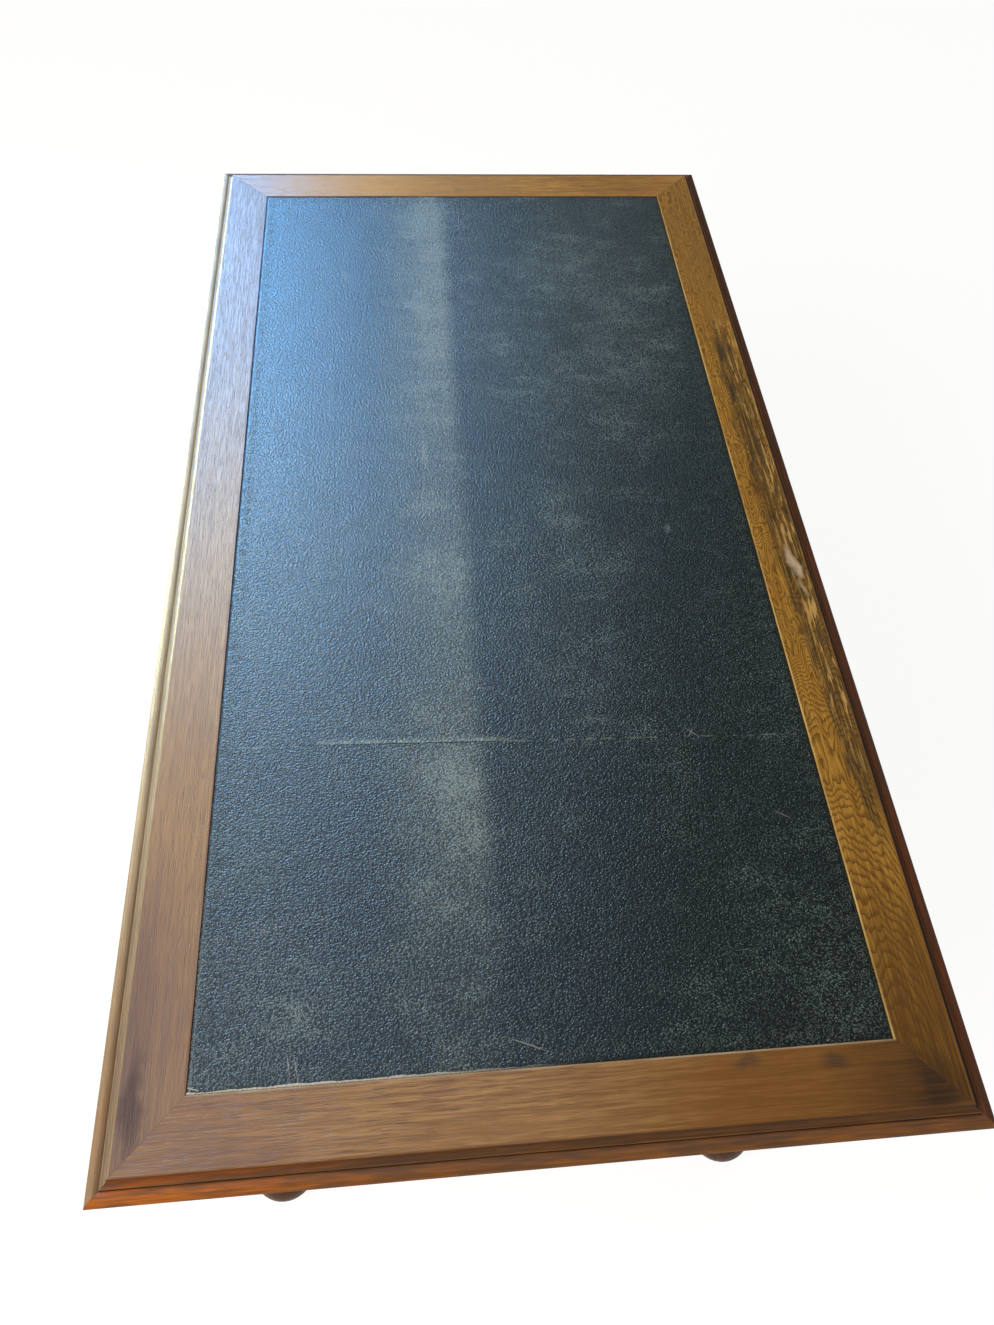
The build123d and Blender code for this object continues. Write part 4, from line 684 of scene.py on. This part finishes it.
def scroll_run(length):
    """The mesh of one straight run of scrolls, along X and round the origin."""
    carrier = bpy.data.objects.new("scroll_run", bpy.data.meshes.new("scroll_run"))
    bpy.context.scene.collection.objects.link(carrier)
    modifier = carrier.modifiers.new("scroll_run", "NODES")
    modifier.node_group = border
    modifier[sockets["Run"].identifier] = length
    modifier[sockets["Count"].identifier] = round(length / SCROLL_REPEAT) + 1
    depsgraph = bpy.context.evaluated_depsgraph_get()
    mesh = bpy.data.meshes.new_from_object(carrier.evaluated_get(depsgraph), depsgraph=depsgraph)
    bpy.data.objects.remove(carrier)
    return mesh


skin_low, skin_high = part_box("leather_short")[0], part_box("leather_long")[1]
middle_x, half_x = (skin_low[0] + skin_high[0]) / 2, (skin_high[0] - skin_low[0]) / 2 - SCROLL_INSET
half_y = skin_high[1] - SCROLL_INSET
tooling = bmesh.new()
for turns, offset, half in ((0, half_y, half_x), (1, half_x, half_y), (2, half_y, half_x), (3, half_x, half_y)):
    run = scroll_run(2 * half - 2 * SCROLL_REPEAT)
    run.transform(Matrix.Rotation(turns * radians(90), 4, "Z") @ Matrix.Translation((0, -offset, 0)))
    run.transform(Matrix.Translation((middle_x, 0, skin_high[2] - LINE_SINK)))
    tooling.from_mesh(run)
border_mesh = bpy.data.meshes.new("tooled_border")
bmesh.ops.recalc_face_normals(tooling, faces=tooling.faces)
tooling.to_mesh(border_mesh)
tooling.free()
border_mesh.materials.append(tooled)
tooled_border = bpy.data.objects.new("tooled_border", border_mesh)
bpy.context.scene.collection.objects.link(tooled_border)
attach(tooled_border, "desk")

# Floor: plain and pale, part of the studio and not of the desk.
# It is white to the camera and keeps the desk's soft shadow.
FLOOR_SPREAD = 14.0
FLOOR_GLOW = 1.2
GLOW_SHARE = 0.70
bpy.ops.mesh.primitive_plane_add(size=2 * FLOOR_SPREAD)
floor = bpy.context.object
floor.name = "floor"
paper, tree, surface = new_material("studio_paper")
tree.nodes.remove(surface)
path = add(tree, "LightPath")
seen = add(tree, "Math", {0: path.outputs["Is Camera Ray"], 1: path.outputs["Is Glossy Ray"]}, **HIGHER)
seen = add(tree, "Math", {0: seen, 1: path.outputs["Is Transmission Ray"]}, **HIGHER)
matt = add(tree, "BsdfDiffuse", {"Color": "#E9E9E9"})
white = add(tree, "Emission", {"Color": "#FFFFFF", "Strength": FLOOR_GLOW})
share = add(tree, "Math", {0: seen, 1: GLOW_SHARE}, **TIMES)
feed(tree, tree.nodes["Material Output"], {"Surface": add(tree, "MixShader", {0: share, 1: matt, 2: white})})
floor.data.materials.append(paper)

# Studio light: an even pale world that polished surfaces see dim overhead on the right, a broad
# soft lamp on the back left side, a tall cool window beyond the far left corner for the shine, and
# a side window that the outer edge of the back rail reflects.
EVEN_LEVEL = 0.55
LOW_SHINE = 0.95
DIM_OVERHEAD = 0.03
BRIGHT_OVERHEAD = 1.4
world = bpy.data.worlds.new("studio")
bpy.context.scene.world = world
world.use_nodes = True
tree = world.node_tree
path = add(tree, "LightPath")
heading = add(tree, "SeparateXYZ", {0: add(tree, "TexCoord").outputs["Generated"]})
overhead = add(tree, "MapRange", {0: heading.outputs["Y"], 1: -0.18, 2: 0.25, 3: DIM_OVERHEAD, 4: BRIGHT_OVERHEAD})
zenith = add(tree, "MapRange", {0: heading.outputs["Z"], 1: 0.80, 2: 0.95, 3: 1.0, 4: 0.5})
overhead = add(tree, "Math", {0: overhead, 1: zenith}, **TIMES)
raised = add(tree, "MapRange", {0: heading.outputs["Z"], 1: 0.22, 2: 0.42})
shone = add(tree, "Mix", {0: raised, 2: LOW_SHINE, 3: overhead})
level = add(tree, "Mix", {0: path.outputs["Is Glossy Ray"], 2: EVEN_LEVEL, 3: shone})
direct = add(tree, "Math", {0: path.outputs["Is Camera Ray"], 1: path.outputs["Is Transmission Ray"]}, **HIGHER)
cool = add(tree, "MapRange", {0: heading.outputs["Z"], 1: 0.60, 2: 0.88})
tint = add(tree, "Mix", {0: cool, 6: "#DCE8DC", 7: "#DAE6F6"}, **RGBA)
tint = add(tree, "Mix", {0: path.outputs["Is Glossy Ray"], 6: "#F4F1EC", 7: tint}, **RGBA)
feed(tree, tree.nodes["Background"], {
    "Color": add(tree, "Mix", {0: direct, 6: tint, 7: "#FFFFFF"}, **RGBA),
    "Strength": add(tree, "Mix", {0: direct, 2: level, 3: 1.0}),
})


def lamp(name, place, aim, width, height, watts, colour):
    light = bpy.data.lights.new(name, "AREA")
    light.shape = "RECTANGLE"
    light.size = width
    light.size_y = height
    light.energy = watts
    light.color = linear(colour)[:3]
    piece = bpy.data.objects.new(name, light)
    bpy.context.scene.collection.objects.link(piece)
    direction = Vector(aim) - Vector(place)
    piece.matrix_world = Matrix.Translation(place) @ direction.to_track_quat("-Z", "Y").to_matrix().to_4x4()
    return piece


lamp("key_lamp", (-1.3, 2.6, 2.6), (-0.2, 0.0, 0.7), 2.2, 1.8, 95, "#FFF6EA")
panes = lamp("window", (4.0, 2.30, 3.55), (0.0, 2.30, 3.55), 3.0, 2.1, 800, "#5AB2FF")
transom = lamp("window_head", (4.0, 2.30, 6.1), (0.0, 2.30, 6.1), 3.0, 3.0, 680, "#D6E6DE")
side_pane = lamp("side_window", (2.1, 2.60, 0.95), (2.1, 0.0, 0.95), 2.6, 1.8, 520, "#DCEEDC")
polished = bpy.data.collections.new("polished_top")
for piece in bpy.data.objects:
    if piece.name.startswith(("leather_skin", "top_rail_back", "top_rail_left", "top_rail_right")):
        polished.objects.link(piece)
edge = bpy.data.collections.new("edge_by_the_window")
edge.objects.link(nodes["top_rail_back"])
for pane, lit in ((panes, polished), (transom, polished), (side_pane, edge)):
    pane.visible_diffuse = False
    pane.visible_transmission = False
    pane.light_linking.receiver_collection = lit

# Camera: held above the near left end and tilted down along the top.
FOCAL_LENGTH = 24.67
ROLL = radians(5.45)
SHIFT_UP = -0.0245
CAMERA_PLACE = Vector((-0.740, 0.101, 1.658))
CAMERA_AIM = Vector((-0.189, 0.013, 0.760))
camera_data = bpy.data.cameras.new("camera")
camera_data.lens = FOCAL_LENGTH
camera_data.sensor_fit = "VERTICAL"
camera_data.sensor_height = 36.0
camera_data.shift_y = SHIFT_UP
camera = bpy.data.objects.new("camera", camera_data)
bpy.context.scene.collection.objects.link(camera)
turn = (CAMERA_AIM - CAMERA_PLACE).to_track_quat("-Z", "Y").to_matrix().to_4x4()
camera.matrix_world = Matrix.Translation(CAMERA_PLACE) @ turn @ Matrix.Rotation(ROLL, 4, "Z")
bpy.context.scene.camera = camera
bpy.context.scene.view_settings.view_transform = "Standard"
